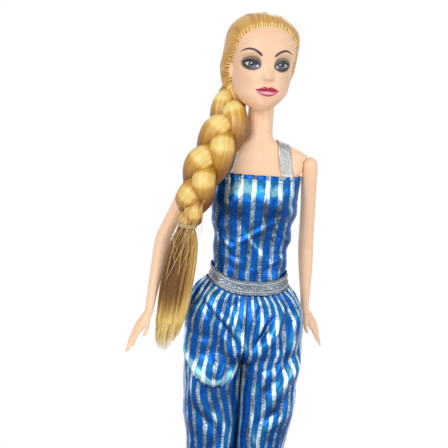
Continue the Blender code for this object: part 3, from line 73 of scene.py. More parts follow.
# Sizes in millimetres, heights from the soles, and shares
HIP_Z, BELT_Z, BUST_Z, SHOULDER_Z, NECK_TOP_Z, CHIN_Z = 152, 176.5, 211, 227, 255.5, 249.5
CROTCH_Z, CUFF_Z, CUFF_HALF, CUFF_DEPTH, CUFF_HEIGHT, FOOT_APART = 140, 27, 5.2, 5.72, 4, 10.8
SHOULDER_HALF, UPPER_ARM, ELBOW_BEND, SHOULDER_HOLLOW, HOLLOW_X = 23.5, 39, math.radians(17), 3.85, 20.15
CLOTH, TAPE, CLOTH_GAP, SKIN_GAP, BELT_HEIGHT, BELT_GAP = 0.3, 0.35, 0.35, 0.05, 6, 1.15
HEAD_TURN, HEAD_PLACE = math.radians(10), ROOT + Vector((-1.0 * MM, 0, 0))
HEAD_HEIGHT, HEAD_HALF, HEAD_FRONT, HEAD_BACK = 40, 13.9, 14.3, 14
HAIR_TOP, HAIR_SINK, HAIR_HALF, HAIR_FRONT, HAIR_BACK = 43.4, 0.9, 17, 13.4, 18
BODICE_LOW, NECKLINE_Z, BODICE_CLOTH, TROUSER_CLOTH = BELT_Z - 2.7, SHOULDER_Z - 5, 17.8, 38
TAPE_WIDTH, STRAP_WIDTH, STRAP_LIFT, MELT, WELD_GAP, FLOOR_RADIUS = 4.2, 5.6, 0.42, 0.24, 0.004, 260
LANE_WIDTH, LANE_DEPTH, LOCK_HALF, LOCK_DEPTH, LOCK_ROWS = 0.265, 0.19, 0.285, 0.21, 170
HAIR_COLUMNS, HAIR_ROWS, HAIR_ROOT = 660, 44, 0.13
NOSE_TIP, LIP_SEAM, EYE_MIDDLE, PAINT_STRENGTH = 15.2, 9.6, 6.25, 0.95
BRAID_PITCH, BRAID_START_TURN = 42, math.radians(75)
BRAID_WIDTH_SHARES = [0.44, 0.66, 0.88, 1, 1, 0.98, 0.93, 0.82, 0.66, 0.46]
BRAID_ROUTE = np.array([
    (-15.6, 7.4, 259.4), (-15.8, 3.2, 254), (-15, -2.4, 247.5), (-15.4, -8.4, 240.5), (-18.4, -12.6, 232.6),
    (-21.8, -14.6, 225.4), (-25, -14.8, 217.6), (-26.4, -13.4, 209.6), (-27.6, -11.6, 203),
    (-28.4, -10.4, 199.4),
])
TAIL_HALF, TAIL_DEPTH, TAIL_DRIFT, TAIL_LENGTH = 7.2, 2.5, 6.4, 57
# Side, swing, raise and lean in degrees, forearm, turn of the hand, length of its fingers
ARMS = {"left": (1, 20, 3, 1.5, 30.6, 28, 1.0), "right": (-1, 0, 23, -16, 34, 22, 1.12)}
# Sections of the torso: height, half width, depth of front and back, squareness
BODY = [
    (HIP_Z, 19.4, 11.2, 12.4, 2.3), (163.025, 18.818, 11.2, 12.4, 2.3), (170.375, 17.18, 10.12, 10.6, 2.3),
    (BELT_Z, 15.7, 9.4, 9.4, 2.3), (191, 15.5, 8.8, 8.4, 2.3), (203, 17.24, 10.06, 8.8, 2.3),
    (BUST_Z, 18.4, 10.6, 9.2, 2.3), (217.4, 18.4, 9.4, 8.6, 2.3), (222.52, 19.12, 7.8, 8, 2.3),
    (SHOULDER_Z, 20.3, 6.6, 7.2, 2.3), (230.99, 20, 5.808, 6.624, 2.3), (233.175, 17.1, 5.544, 6.48, 2.3),
    (234.98, 13.33, 5.412, 6.336, 2.3), (236.5, 7.7, 5.665, 6.16, 2), (239.2, 5.72, 5.5, 5.61, 2),
    (NECK_TOP_Z, 5.5, 5.5, 5.5, 2),
]


# Tables and surfaces


def even(count):
    return np.linspace(0, 1, count)


def xyz(x, y, z):
    return np.stack([x, y, z], 1)


def unit(vectors):
    return vectors / np.linalg.norm(vectors, axis=-1, keepdims=True)


def mean(first, second, share=0.5):
    return first + (second - first) * share


def ease(low, high, value):
    """0 below low, 1 above high, smooth between; low may be the larger."""
    share = np.clip((value - low) / (high - low), 0, 1)
    return share * share * (3 - 2 * share)


def bell(distance, reach):
    return np.exp(-((distance / reach) ** 2))


def bump(x, z, centre_x, centre_z, half_width, half_height):
    return np.exp(-(((x - centre_x) / half_width) ** 2) - ((z - centre_z) / half_height) ** 2)


def oval(angle, half_width, front, back, power):
    across, along = np.cos(angle), np.sin(angle)
    depth = np.where(along > 0, back, front)
    x = half_width * np.sign(across) * np.abs(across) ** (2 / power)
    return x, depth * np.sign(along) * np.abs(along) ** (2 / power)


def along_rows(rows, at):
    """Rows of a table, smoothly between its own, at values of its first column."""
    table = np.array(sorted(rows), float)
    keys = table[:, 0]
    at = np.clip(at, keys[0], keys[-1])
    slopes = np.gradient(table, keys, axis=0)
    index = np.clip(np.searchsorted(keys, at, side="right") - 1, 0, len(keys) - 2)
    span = (keys[index + 1] - keys[index])[:, None]
    part = (at - keys[index])[:, None] / span
    low = table[index] * (2 * part**3 - 3 * part**2 + 1)
    low = low + slopes[index] * span * (part**3 - 2 * part**2 + part)
    high = table[index + 1] * (3 * part**2 - 2 * part**3)
    return low + high + slopes[index + 1] * span * (part**3 - part**2)


def spline(a, b, c, d, part):
    """Smooth way from b to c, between a and d."""
    square = (2 * a - 5 * b + 4 * c - d) * part**2
    cube = (3 * b - a - 3 * c + d) * part**3
    return (2 * b + (c - a) * part + square + cube) / 2


def wander(count, seed, knots):
    """Smooth random values between -1 and 1 at even steps."""
    draw = np.random.default_rng(seed).uniform(-1, 1, knots + 3)
    place = np.linspace(0, knots - 1e-6, count)
    index = place.astype(int)
    return spline(*(draw[index + offset] for offset in range(4)), place - index)


def curve_points(points, shares):
    """Smooth curve through the points, at shares of its run."""
    points = np.array(points, float)
    last = len(points) - 1
    place = np.clip(shares, 0, 1) * last
    index = np.minimum(place.astype(int), last - 1)
    corners = (points[np.clip(index + offset, 0, last)] for offset in (-1, 0, 1, 2))
    return spline(*corners, (place - index)[:, None])


def body_section(rows, height, turn, grow):
    """Oval of the torso, grown outwards: x, y without and y with the bust; turn is a share of a turn."""
    row = along_rows(rows, height)
    x, y = oval(math.tau * turn, row[:, 1] + grow, row[:, 2] + grow, row[:, 3] + grow, row[:, 4])
    bust = 2.8 * np.clip(-y / row[:, 2], 0, 1) * bump(np.abs(x), height, 8.4, BUST_Z, 6.4, 6.4)
    return x, y, np.where(y < 0, y - bust, y)


def body_surface(height, turn, grow):
    x, _, y = body_section(BODY, height, turn, grow)
    return xyz(x, y, height)


# Meshes


def in_scene(point):
    return Vector(point) * MM + ROOT


def placing(shift, turn):
    return Matrix.Translation(shift) @ Matrix.Rotation(turn, 4, "Z")


def add_object(name, data):
    made = bpy.data.objects.new(name, data)
    bpy.context.scene.collection.objects.link(made)
    return made


def select(*pieces):
    """Selects the pieces alone and makes the first one active."""
    if bpy.context.object and bpy.context.object.mode != "OBJECT":
        bpy.ops.object.mode_set(mode="OBJECT")
    bpy.ops.object.select_all(action="DESELECT")
    for piece in pieces:
        piece.select_set(True)
    if pieces:
        bpy.context.view_layer.objects.active = pieces[0]


def mend(merge=True, outwards=True):
    """Joins points of the active piece that lie on each other, and turns every face out."""
    bpy.ops.object.mode_set(mode="EDIT")
    bpy.ops.mesh.select_all(action="SELECT")
    if merge:
        bpy.ops.mesh.remove_doubles(threshold=WELD_GAP * MM)
    if outwards:
        bpy.ops.mesh.normals_make_consistent(inside=False)
    bpy.ops.object.mode_set(mode="OBJECT")


def read_points(mesh, part="co"):
    flat = np.empty(len(mesh.vertices) * 3)
    mesh.vertices.foreach_get(part, flat)
    return flat.reshape(-1, 3)


def write_attribute(piece, name, values, kind="FLOAT"):
    made = piece.data.attributes.new(name, kind, "POINT")
    values = np.ascontiguousarray(values, np.float32).ravel()
    made.data.foreach_set("color" if "COLOR" in kind else "value", values)


def laid_grid(name, columns, rows, place, closed=False, shift=ROOT, turn=0, marks=()):
    """Grid primitive whose points are laid on a surface by shares across and along it, in millimetres.

    The values that place leaves in marks become attributes of its points.
    """
    select()
    bpy.ops.mesh.primitive_grid_add(x_subdivisions=columns, y_subdivisions=rows, size=2)
    piece = bpy.context.object
    piece.name = piece.data.name = name
    mesh = piece.data
    shares = (read_points(mesh)[:, :2] + 1) / 2
    points = place(shares[:, 0], shares[:, 1]) * MM
    mesh.vertices.foreach_set("co", points.ravel())
    mesh.transform(placing(shift, turn))
    for mark in marks:
        write_attribute(piece, mark, marks[mark])
    if closed:
        mend(outwards=False)
    bpy.ops.object.shade_smooth()
    mesh.update()
    return piece


def apply_modifiers(piece):
    select(piece)
    for modifier in list(piece.modifiers):
        bpy.ops.object.modifier_apply(modifier=modifier.name)


def thicken(piece, thickness):
    """Gives an open sheet its thickness, outwards."""
    modifier = piece.modifiers.new("thickness", "SOLIDIFY")
    modifier.thickness = thickness * MM
    modifier.offset = 1
    apply_modifiers(piece)
    return piece


def soften(piece, times):
    modifier = piece.modifiers.new("soften", "SMOOTH")
    modifier.factor = 0.5
    modifier.iterations = times
    apply_modifiers(piece)


def tube_faces(rings, sides, count=1, capped=True):
    """Faces of tubes by the numbers of their points: all quads, then the caps."""
    index = np.arange(count * rings * sides).reshape(count, rings, sides)
    around = np.roll(index, -1, 2)
    quads = np.stack([index[:, :-1], around[:, :-1], around[:, 1:], index[:, 1:]], -1).reshape(-1, 4)
    caps = index[:, 0, ::-1].tolist() + index[:, -1].tolist()
    return quads.tolist() + (caps if capped else [])


def strand_bundle(name, paths, radii, tone_and_painted_light, sides=4, flat=1.0, facing=(0.2, -1, 0.3), shift=ROOT, turn=0):
    """Tapered strands in one mesh, each with its share along, its share across and its tone."""
    paths, radii = np.array(paths, float), np.array(radii, float)
    count, rings, _ = paths.shape
    run = unit(np.gradient(paths, axis=1))
    side = unit(np.cross(run, np.broadcast_to(np.array(facing, float), paths.shape)))
    out = np.cross(side, run)
    angles = math.tau * np.arange(sides) / sides
    ring = side[:, :, None] * np.cos(angles)[:, None] + out[:, :, None] * (flat * np.sin(angles))[:, None]
    points = paths[:, :, None] + ring * radii[:, :, None, None]
    mesh = bpy.data.meshes.new(name)
    mesh.from_pydata((points.reshape(-1, 3) * MM).tolist(), [], tube_faces(rings, sides, count))
    mesh.transform(placing(shift, turn))
    piece = add_object(name, mesh)
    select(piece)
    mend(merge=False)
    bpy.ops.object.shade_smooth()
    across = np.arange(count)[:, None, None] * 0.37 + np.arange(sides) * 0.03
    marks = {"along": even(rings)[None, :, None], "across": across, "tone_and_painted_light": np.array(tone_and_painted_light)[:, None, None]}
    for mark in marks:
        write_attribute(piece, mark, np.broadcast_to(marks[mark], (count, rings, sides)))
    return piece


def wear(piece, body, slot, material, *nodes):
    """Gives a finished piece its material, and its body if that is a name, else fixes its place in its
    points; hides the CAD nodes that it stands for. The slot is not used.
    """
    piece.data.materials.clear()
    piece.data.materials.append(material)
    if isinstance(body, str):
        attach(piece, body)
    else:
        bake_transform(piece)
    if nodes:
        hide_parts(*nodes)


# Materials


class Nodes:
    """Short ways to add and join the nodes of a tree."""

    def __init__(self, tree):
        self.tree = tree

    def add(self, kind, settings=(), **inputs):
        node = self.tree.nodes.new("ShaderNode" + kind)
        for key, value in dict(settings).items():
            setattr(node, key, value)
        for key, value in inputs.items():
            self.put(node.inputs[int(key[1:]) if key[1:].isdigit() else key.replace("_", " ")], value)
        return node

    def put(self, socket, value):
        if isinstance(value, bpy.types.NodeSocket):
            self.tree.links.new(value, socket)
        elif value is not None:
            socket.default_value = value

    def math(self, operation, first, second=0.0):
        return self.add("Math", {"operation": operation}, i0=first, i1=second).outputs[0]

    def times(self, first, second):
        return self.math("MULTIPLY", first, second)

    def plus(self, first, second):
        return self.math("ADD", first, second)

    def sway(self, share, reach):
        """A share's distance from one half, times the reach."""
        return self.times(self.math("SUBTRACT", share, 0.5), reach)


class Finish(Nodes):
    """A material built from nodes."""

    def __init__(self, name, roughness=0.5, metallic=0.0, **sockets):
        self.material = bpy.data.materials.new(name)
        self.material.use_nodes = True
        super().__init__(self.material.node_tree)
        self.shader = self.tree.nodes["Principled BSDF"]
        self.set(Roughness=roughness, Metallic=metallic, **sockets)

    def set(self, **sockets):
        for socket, value in sockets.items():
            self.put(self.shader.inputs[socket.replace("_", " ")], value)
        return self.material

    def attribute(self, name, part="Fac"):
        return self.add("Attribute", {"attribute_name": name}).outputs[part]

    def place(self, stretch=1):
        source = self.add("TexCoord").outputs["Object"]
        return self.add("Mapping", Vector=source, Scale=(1, 1, stretch)).outputs["Vector"]

    def uv(self):
        return self.add("SeparateXYZ", Vector=self.add("TexCoord").outputs["UV"]).outputs

    def noise(self, vector, scale, detail=3.0, roughness=0.55):
        node = self.add("TexNoise", Vector=vector, Scale=scale, Detail=detail, Roughness=roughness)
        return node.outputs["Fac"]

    def cells(self, scale):
        return self.add("TexVoronoi", Vector=self.place(), Scale=scale).outputs["Distance"]

    def span(self, value, low, high, to_low=0.0, to_high=1.0):
        ends = {"From_Min": low, "From_Max": high, "To_Min": to_low, "To_Max": to_high}
        node = self.add("MapRange", {"interpolation_type": "SMOOTHSTEP"}, Value=value, **ends)
        return node.outputs["Result"]

    def mix(self, share, first, second, blend="MIX"):
        settings = {"data_type": "RGBA", "blend_type": blend}
        return self.add("Mix", settings, i0=share, i6=first, i7=second).outputs[2]

    def ramp(self, value, *stops):
        node = self.add("ValToRGB", Fac=value)
        stop_list = node.color_ramp.elements
        while len(stop_list) < len(stops):
            stop_list.new(0.5)
        for stop, (place, tint) in zip(stop_list, stops):
            stop.position = place
            stop.color = tint
        return node.outputs["Color"]

    def relief(self, height, distance, strength=1.0, before=None):
        node = self.add("Bump", Height=height, Distance=distance * MM, Strength=strength, Normal=before)
        return node.outputs["Normal"]


def colour(red, green, blue):
    """Linear colour from screen values of 0 to 255."""
    shares = np.array((red, green, blue)) / 255
    linear = np.where(shares <= 0.04045, shares / 12.92, ((shares + 0.055) / 1.055) ** 2.4)
    return (*linear.tolist(), 1.0)


def shaded(tint, share):
    return (*(value * share for value in tint[:3]), 1)


def shared(maker, name, *settings):
    """Material of that name, made the first time that it is asked for."""
    return bpy.data.materials.get(name) or maker(name, *settings)


def soft_vinyl(name, skin, painted=False):
    glow = {"Subsurface_Weight": 0.06, "Subsurface_Radius": (1, 0.35, 0.2), "Subsurface_Scale": 0.0015}
    finish = Finish(name, 0.4, 0, Coat_Weight=0.06, Coat_Roughness=0.3, **glow)
    spots = finish.noise(finish.place(), 260, 2)
    shade = finish.mix(finish.span(spots, 0.35, 0.7), (0.985, 0.975, 0.965, 1), (1, 1, 1, 1))
    base, rough = tuple(skin), 0.4
    if painted:
        base, rough = finish.attribute("paint", "Color"), finish.attribute("rough")
    normal = finish.relief(finish.noise(finish.place(), 2600, 2), 0.03, 0.35)
    return finish.set(Base_Color=finish.mix(1.0, base, shade, "MULTIPLY"), Roughness=rough, Normal=normal)


def hair_fibre(name, colours, streaks=None, shift=0.0, contrast=1.0, tips=0.0):
    """Glossy streaks along each lock, by its attributes or else by its UV and a number of streaks."""
    sheen = {"Sheen_Weight": 0.06, "Sheen_Roughness": 0.4}
    finish = Finish(name, 0.3, 0, Anisotropic=0.4, Specular_IOR_Level=0.6, **sheen)
    if streaks is None:
        streaks = 1.0
        across, along = finish.attribute("across"), finish.attribute("along")
    else:
        across, along, _ = finish.uv()

    def streaked(wide, long, detail):
        spot = finish.add("CombineXYZ", X=finish.times(across, wide * streaks), Y=finish.times(along, long))
        return finish.noise(spot.outputs[0], 1.0, detail)

    fine, broad = streaked(170, 2.2, 2), streaked(30, 1.4, 1)
    mixed = finish.plus(finish.times(fine, 0.5), finish.times(broad, 0.5))
    mixed = finish.plus(finish.sway(mixed, 1.3 * contrast), 0.5 + shift)
    # painted highlight and shade of the tufts and braid locks, and random differences of the strands, lighten
    # or darken the streaks
    mixed = finish.plus(mixed, finish.sway(finish.attribute("tone_and_painted_light"), 0.7))
    mixed = finish.plus(mixed, finish.span(along, 0.55, 1.0, 0.0, tips))
    base = finish.ramp(mixed, *zip((0.16, 0.42, 0.62, 0.86), map(tuple, colours)))
    rough = finish.span(fine, 0.3, 0.7, 0.26, 0.38)
    return finish.set(Base_Color=base, Normal=finish.relief(fine, 0.05, 0.5), Roughness=rough)


def foil_cloth(name, blue, silver, pitch, wide):
    """Foil printed cloth: stripes by the width of cloth, with painted reflection: the stripes lighter, up to
    white silver and cyan blue, where the gleam is high, and darker where it is low.
    """
    finish = Finish(name, 0.34, 0.72, Specular_IOR_Level=0.3)
    place = finish.place()
    waver = finish.sway(finish.noise(place, 150, 2), 0.1)
    pitches = finish.math("DIVIDE", finish.attribute("cloth"), pitch)
    share = finish.math("FRACT", finish.plus(pitches, waver))
    edge = 0.03
    start, end = finish.span(share, 0.0, edge * 2), finish.span(share, wide - edge, wide + edge)
    stripe = finish.math("SUBTRACT", start, end)
    speckle = finish.noise(place, 1900, 2, 0.7)
    # random patches of painted reflection, added to the gleam
    reflection_patches = finish.noise(finish.place(0.5), 260, 3)
    gleam = finish.plus(finish.attribute("gleam"), finish.sway(reflection_patches, 0.8))
    # the darkest and lightest stops of silver and blue are painted shade and painted reflection
    silvers = ((0.03, 0.04, 0.055, 1), (0.09, 0.115, 0.145, 1), tuple(silver), (0.88, 0.97, 1, 1))
    # painted gleam with the foil's own speckle
    gleam_and_glitter = finish.plus(gleam, finish.sway(speckle, 1.3))
    silver_colour = finish.ramp(gleam_and_glitter, *zip((0.12, 0.34, 0.52, 0.76), silvers))
    blues = ((0.002, 0.045, 0.2, 1), tuple(blue), (0.009, 0.18, 0.42, 1), (0.26, 0.6, 0.74, 1))
    blue_colour = finish.ramp(gleam, *zip((0.1, 0.46, 0.74, 1.05), blues))
    crinkle = finish.relief(finish.noise(finish.place(0.45), 330, 3, 0.6), 0.4, 0.4)
    normal = finish.relief(finish.noise(place, 3200, 1), 0.02, 0.3, crinkle)
    rough = finish.plus(finish.times(stripe, -0.04), finish.span(speckle, 0.3, 0.7, 0.28, 0.4))
    base = finish.mix(stripe, silver_colour, blue_colour)
    return finish.set(Base_Color=base, Normal=normal, Roughness=rough)


def glitter_ribbon(name, base, lines):
    """Silver lurex ribbon: speckled weave, and lighter corded lines at shares of its width."""
    finish = Finish(name, 0.34, 0.75)
    width = finish.uv()[1]
    speckle = finish.noise(finish.place(), 2600, 3, 0.75)
    gleam = finish.plus(finish.times(speckle, 0.6), finish.times(finish.cells(2300.0), 0.5))
    tints = ((0.07, 0.09, 0.11, 1), tuple(base), (0.5, 0.55, 0.58, 1))
    tuned = finish.ramp(gleam, *zip((0.36, 0.54, 0.74), tints))
    tuft_highlight_and_gap_shade = [finish.math("ABSOLUTE", finish.math("SUBTRACT", width, line)) for line in lines]
    ridges = finish.math("MAXIMUM", *(finish.span(gap, 0.0, 0.055, 1.0, 0.0) for gap in tuft_highlight_and_gap_shade))
    tuned = finish.mix(finish.times(ridges, 0.65), tuned, (0.56, 0.6, 0.63, 1))
    bands = {"bands_direction": "X"}
    weave = finish.add("TexWave", bands, Vector=finish.place(), Scale=520.0, Distortion=1.5)
    height = finish.plus(finish.times(weave.outputs["Fac"], 0.3), finish.plus(speckle, ridges))
    return finish.set(Base_Color=tuned, Normal=finish.relief(height, 0.12, 0.8))


def hard_plastic(name, base, roughness=0.35, metallic=0.0, grain=900.0):
    finish = Finish(name, roughness, metallic, Coat_Weight=0.15, Coat_Roughness=0.2)
    cloud = finish.noise(finish.place(), grain, 3)
    tint = finish.mix(finish.span(cloud, 0.35, 0.65), shaded(base, 0.9), tuple(base))
    return finish.set(Base_Color=tint, Normal=finish.relief(cloud, 0.03, 0.3))


def hook_pile(name, base, scale):
    finish = Finish(name, 0.85, 0, Sheen_Weight=0.4, Sheen_Roughness=0.5)
    cells = finish.cells(scale)
    tint = finish.mix(finish.span(cells, 0.1, 0.6), tuple(base), shaded(base, 0.6))
    return finish.set(Base_Color=tint, Normal=finish.relief(cells, 0.15, 0.9))


# Head

# Sections of the head in shares of its sizes: height, half width, middle, depth
HEAD_SHARES = [
    (0.018, 0.02, -0.7, 0.02), (0.021, 0.17, -0.7, 0.12), (0.034, 0.3, -0.63, 0.28),
    (0.055, 0.43, -0.47, 0.48), (0.08, 0.55, -0.27, 0.71), (0.125, 0.69, -0.15, 0.83),
    (0.185, 0.82, -0.1, 0.88), (0.23, 0.87, -0.08, 0.9), (0.275, 0.905, -0.06, 0.92),
    (0.32, 0.93, -0.04, 0.94), (0.39, 0.95, -0.01, 0.97), (0.44, 0.955, 0, 0.98),
    (0.515, 0.965, 0, 0.99), (0.6, 0.99, 0, 1), (0.7, 1, 0, 0.99), (0.8, 0.95, 0, 0.92),
    (0.885, 0.8, 0, 0.77), (0.95, 0.57, 0, 0.54), (0.988, 0.3, 0, 0.29), (1, 0.02, 0, 0.02),
]
HEAD_MIDDLE, HEAD_LEAN = (HEAD_BACK + HEAD_FRONT) / 2, (HEAD_BACK - HEAD_FRONT) / 2
HEAD = [
    (rise * HEAD_HEIGHT, half * HEAD_HALF, HEAD_LEAN + centre * HEAD_FRONT, depth * HEAD_MIDDLE)
    for rise, half, centre, depth in HEAD_SHARES
]
# Forms of the face: distance from the middle, height over the chin, half width, half height, rise
FACE_FORMS = [
    (1.5, 14.7, 0.9, 0.8, 0.5),  # nostrils
    (0, 9.2, 3.8, 2, 0.85),  # mouth
    (1.3, 10.5, 1.5, 0.6, 0.5),  # upper lip
    (0, 8.2, 2.5, 0.8, 0.6),  # lower lip
    (0, 12.4, 0.7, 1.2, -0.2),  # groove below the nose
    (0, 6.2, 2.6, 0.7, -0.35),  # hollow below the lips
    (0, 3.2, 3.4, 3.2, 0.8),  # chin
    (8, 14.5, 3.6, 3.6, 0.35),  # cheeks
    (6.3, 20.9, 3.4, 2.8, -1.05),  # sockets
    (6.5, 21.1, 2.5, 1.7, 0.6),  # eyes
    (6.5, 25.6, 4.5, 1.5, 0.25),  # brows
]


def face_middle(x, rise):
    """Distance from the middle of the face, which leans a little to the doll's right towards the brow."""
    return x + 0.75 * ease(12, 19, rise)


def face_reach(x, rise):
    """How far nose, lips, chin, cheeks and eyes stand out from the plain section."""
    x = face_middle(x, rise)
    side = np.abs(x)
    share = np.clip((24 - rise) / (24 - NOSE_TIP), 0, 1)
    above = rise >= NOSE_TIP
    ridge = np.where(above, 2.2 * share**2.2 + 0.1 * share, 2.3 * bell(NOSE_TIP - rise, 1.5))
    reach = ridge * bell(x, np.where(above, mean(3.2, 2.0, share), 2.0))
    reach = reach - 0.5 * bell(rise - 9.55 - 0.1 * np.cos(x * 1.1), 0.25) * ease(5.4, 3.6, side)
    return reach + sum(form[4] * bump(side, rise, *form[:4]) for form in FACE_FORMS)


def head_surface(turn, rise):
    rows = along_rows(HEAD, rise)
    half, centre, depth = rows[:, 1], rows[:, 2], rows[:, 3]
    x, y = oval(math.tau * turn, half, depth, depth, 2.15)
    front = np.clip(-y / np.maximum(depth, 0.1), 0, 1) ** 2
    reach = np.where(y < 0, face_reach(x, rise) * front, 0)
    low = ease(9.5, 0.5, rise)
    x = x * np.where(x > 0, 1 - 0.06 * ease(26, 17, rise) - 0.04 * low, 1) - low
    return xyz(x, y - reach + centre, CHIN_Z + rise)


def stroke(x, rise, points, half):
    """Share of ink of a line through the points whose half width changes along it."""
    shares = even(60)
    widths = np.interp(shares, even(len(half)), half)
    near = np.full(x.shape, -9.0)
    for (px, pz), width in zip(curve_points(points, shares), widths):
        near = np.maximum(near, width - np.hypot(x - px, rise - pz))
    return ease(-0.06, 0.08, near)


def eye_opening(side):
    """Upper and lower edge of the eye at a distance from the nose, and the share of the way across it."""
    share = np.clip((side - 3.5) / (9.3 - 3.5), 0, 1)
    base = mean(19.5, 20.3, share)
    arch = np.sin(math.pi * share)
    return base + 1.65 * arch**0.75, base - 0.95 * arch**0.9, share


def face_paint(x, rise, front, skin):
    """Painted face: painted shade on the skin, blush, eye shadow, eyes, brows and lips with a painted
    highlight, over the skin colour, with the paint's roughness.
    """
    outline = np.abs(x)
    x = face_middle(x, rise)
    side = np.abs(x)
    ink = np.tile(np.array(skin[:3]), (len(x), 1))
    rough = np.full(len(x), 0.42)

    def over(tint, mask, gloss=None):
        nonlocal ink, rough
        mask = np.clip(mask, 0, 1) * front
        ink = ink * (1 - mask[:, None]) + np.array(tint)[..., :3] * mask[:, None]
        if gloss is not None:
            rough = rough * (1 - mask) + gloss * mask

    def line(tint, gloss, points, half, strength=1.0):
        over(tint, strength * stroke(side, rise, points, half), gloss)

    # Painted shade on the skin, and blush on the cheeks
    # painted shade: darker towards the chin and at the sides of the face
    shade = 0.46 * ease(8.5, 3, rise) + 0.34 * ease(9.8, 13.4, outline) * ease(30, 24, rise)
    over(colour(222, 166, 124), shade)
    over((0.86, 0.42, 0.29), 0.3 * bump(side, rise, 9.2, 14, 3.6, 3.6))
    # painted shade in the nostrils
    over((0.62, 0.3, 0.19), 0.3 * bump(side, rise, 1.5, 13.9, 0.8, 0.6))
    # painted shade in the hollow below the lips
    over((0.7, 0.36, 0.23), 0.22 * bump(x, rise, 0, 5.9, 2.6, 0.7))

    # Shadow round the eyes
    over(colour(186, 146, 122), 0.55 * ease(1.1, 0.55, np.hypot((side - 6.9) / 4.6, (rise - 23.2) / 2.5)))
    ring = np.hypot((side - 6.55) / (4.0 + 0.25 * (side > 6.55)), (rise - 20.7) / 3.25)
    over(colour(80, 66, 60), 0.92 * ease(1.08, 0.82, ring))
    over(colour(50, 40, 40), 0.92 * ease(1.0, 0.66, np.hypot((side - 6.5) / 4.1, (rise - 20.1) / 2.6)))

    # Eyes
    upper, lower, share = eye_opening(side)
    inside = ease(-0.05, 0.08, np.minimum(upper - rise, rise - lower))
    inside = inside * ease(0, 0.03, share) * ease(1, 0.97, share)
    over(colour(212, 214, 220), inside, 0.2)
    iris = np.hypot(side - EYE_MIDDLE, rise - 20.25)
    low_light = ease(21.4, 19.2, rise)[:, None]
    shades = mean(np.array(colour(36, 42, 58)), np.array(colour(68, 82, 108)), low_light)
    over(shades, inside * ease(1.72, 1.58, iris))
    over(colour(18, 20, 30), inside * ease(1.76, 1.62, iris) * ease(1.25, 1.48, iris), 0.2)
    over(colour(10, 10, 16), inside * ease(0.72, 0.56, iris), 0.15)
    off = x - np.sign(x) * EYE_MIDDLE
    over((0.95, 0.97, 1), inside * ease(0.36, 0.22, np.hypot(off + 0.6, rise - 20.75)), 0.15)
    over((0.75, 0.82, 0.95), inside * ease(0.26, 0.14, np.hypot(off - 0.6, rise - 19.7)), 0.15)

    # Lids, lashes, creases and brows
    lid = [(3.0, 19.2), (4.1, 20.6), (5.3, 21.5), (6.8, 21.9), (8.3, 21.65), (9.6, 21.0), (10.4, 21.2)]
    line(colour(16, 12, 14), 0.3, lid, [0.16, 0.36, 0.52, 0.6, 0.6, 0.46, 0.12])
    under = [(3.5, 19.2), (4.7, 18.75), (6.3, 18.6), (8.0, 19.05), (9.5, 20.2)]
    line(colour(34, 26, 28), 0.3, under, [0.12, 0.24, 0.3, 0.36, 0.4])
    for root in np.linspace(4.3, 9.0, 9):
        low = eye_opening(np.array([root]))[1][0]
        lash = [(root, low + 0.05), (root + 0.12 + (root - 6.5) * 0.07, low - 0.8)]
        line(colour(34, 26, 28), None, lash, [0.12, 0.04], 0.8)
    crease = [(3.9, 21.9), (5.2, 22.8), (6.8, 23.15), (8.4, 22.8), (9.7, 22.0)]
    line(colour(178, 172, 112), None, crease, [0.03, 0.11, 0.15, 0.11, 0.03], 0.85)
    brow = [(2.9, 24.2), (3.7, 25.0), (5.3, 26.1), (7.2, 26.7), (8.8, 26.6), (10.1, 26.0), (11.1, 25.1)]
    line(colour(74, 40, 30), 0.4, brow, [0.34, 0.55, 0.6, 0.52, 0.4, 0.26, 0.08])

    # Lips
    reach = np.clip(side / 5.15, 0, 1)
    top = 9.7 + 1.5 * (1 - reach**1.7) - 0.4 * bell(x, 0.75) + 0.12 * bump(side, rise, 1.7, 11, 0.8, 1)
    bottom = LIP_SEAM - 2.5 * (1 - reach**2.1) ** 0.85
    seam = LIP_SEAM + 0.16 * np.cos(x * 1.25) - 0.1
    within = ease(5.25, 4.95, side)
    over(colour(186, 34, 62), within * ease(-0.06, 0.1, top - rise) * ease(-0.1, 0.05, rise - seam), 0.22)
    low = within * ease(-0.06, 0.1, rise - bottom) * ease(-0.06, 0.06, seam - rise)
    over(colour(226, 104, 134), low, 0.15)
    over(colour(206, 62, 94), low * ease(0.75, 0.25, rise - bottom), 0.18)
    # painted highlight across the lower lip
    over(colour(255, 214, 224), 0.9 * low * bump(x, rise, 0, 8.55, 2.4, 0.42), 0.1)
    over(colour(120, 16, 38), within * ease(0.16, 0.05, np.abs(rise - seam)), 0.2)
    return ink, rough


HAIRLINE = [(0, 38.1), (3.6, 37.7), (7.1, 36.4), (10, 34), (12.2, 30.6), (13.2, 27), (13.6, 24)]


def above_hairline(x, rise, y):
    """Share of rooted scalp: over the hairline, and all the hair-covered back."""
    line = curve_points(HAIRLINE, even(40))
    limit = np.interp(np.abs(x), line[:, 0], line[:, 1])
    return np.maximum(ease(-0.1, 0.5, rise - limit), ease(1.5, 3, y) * ease(4.5, 6, rise))


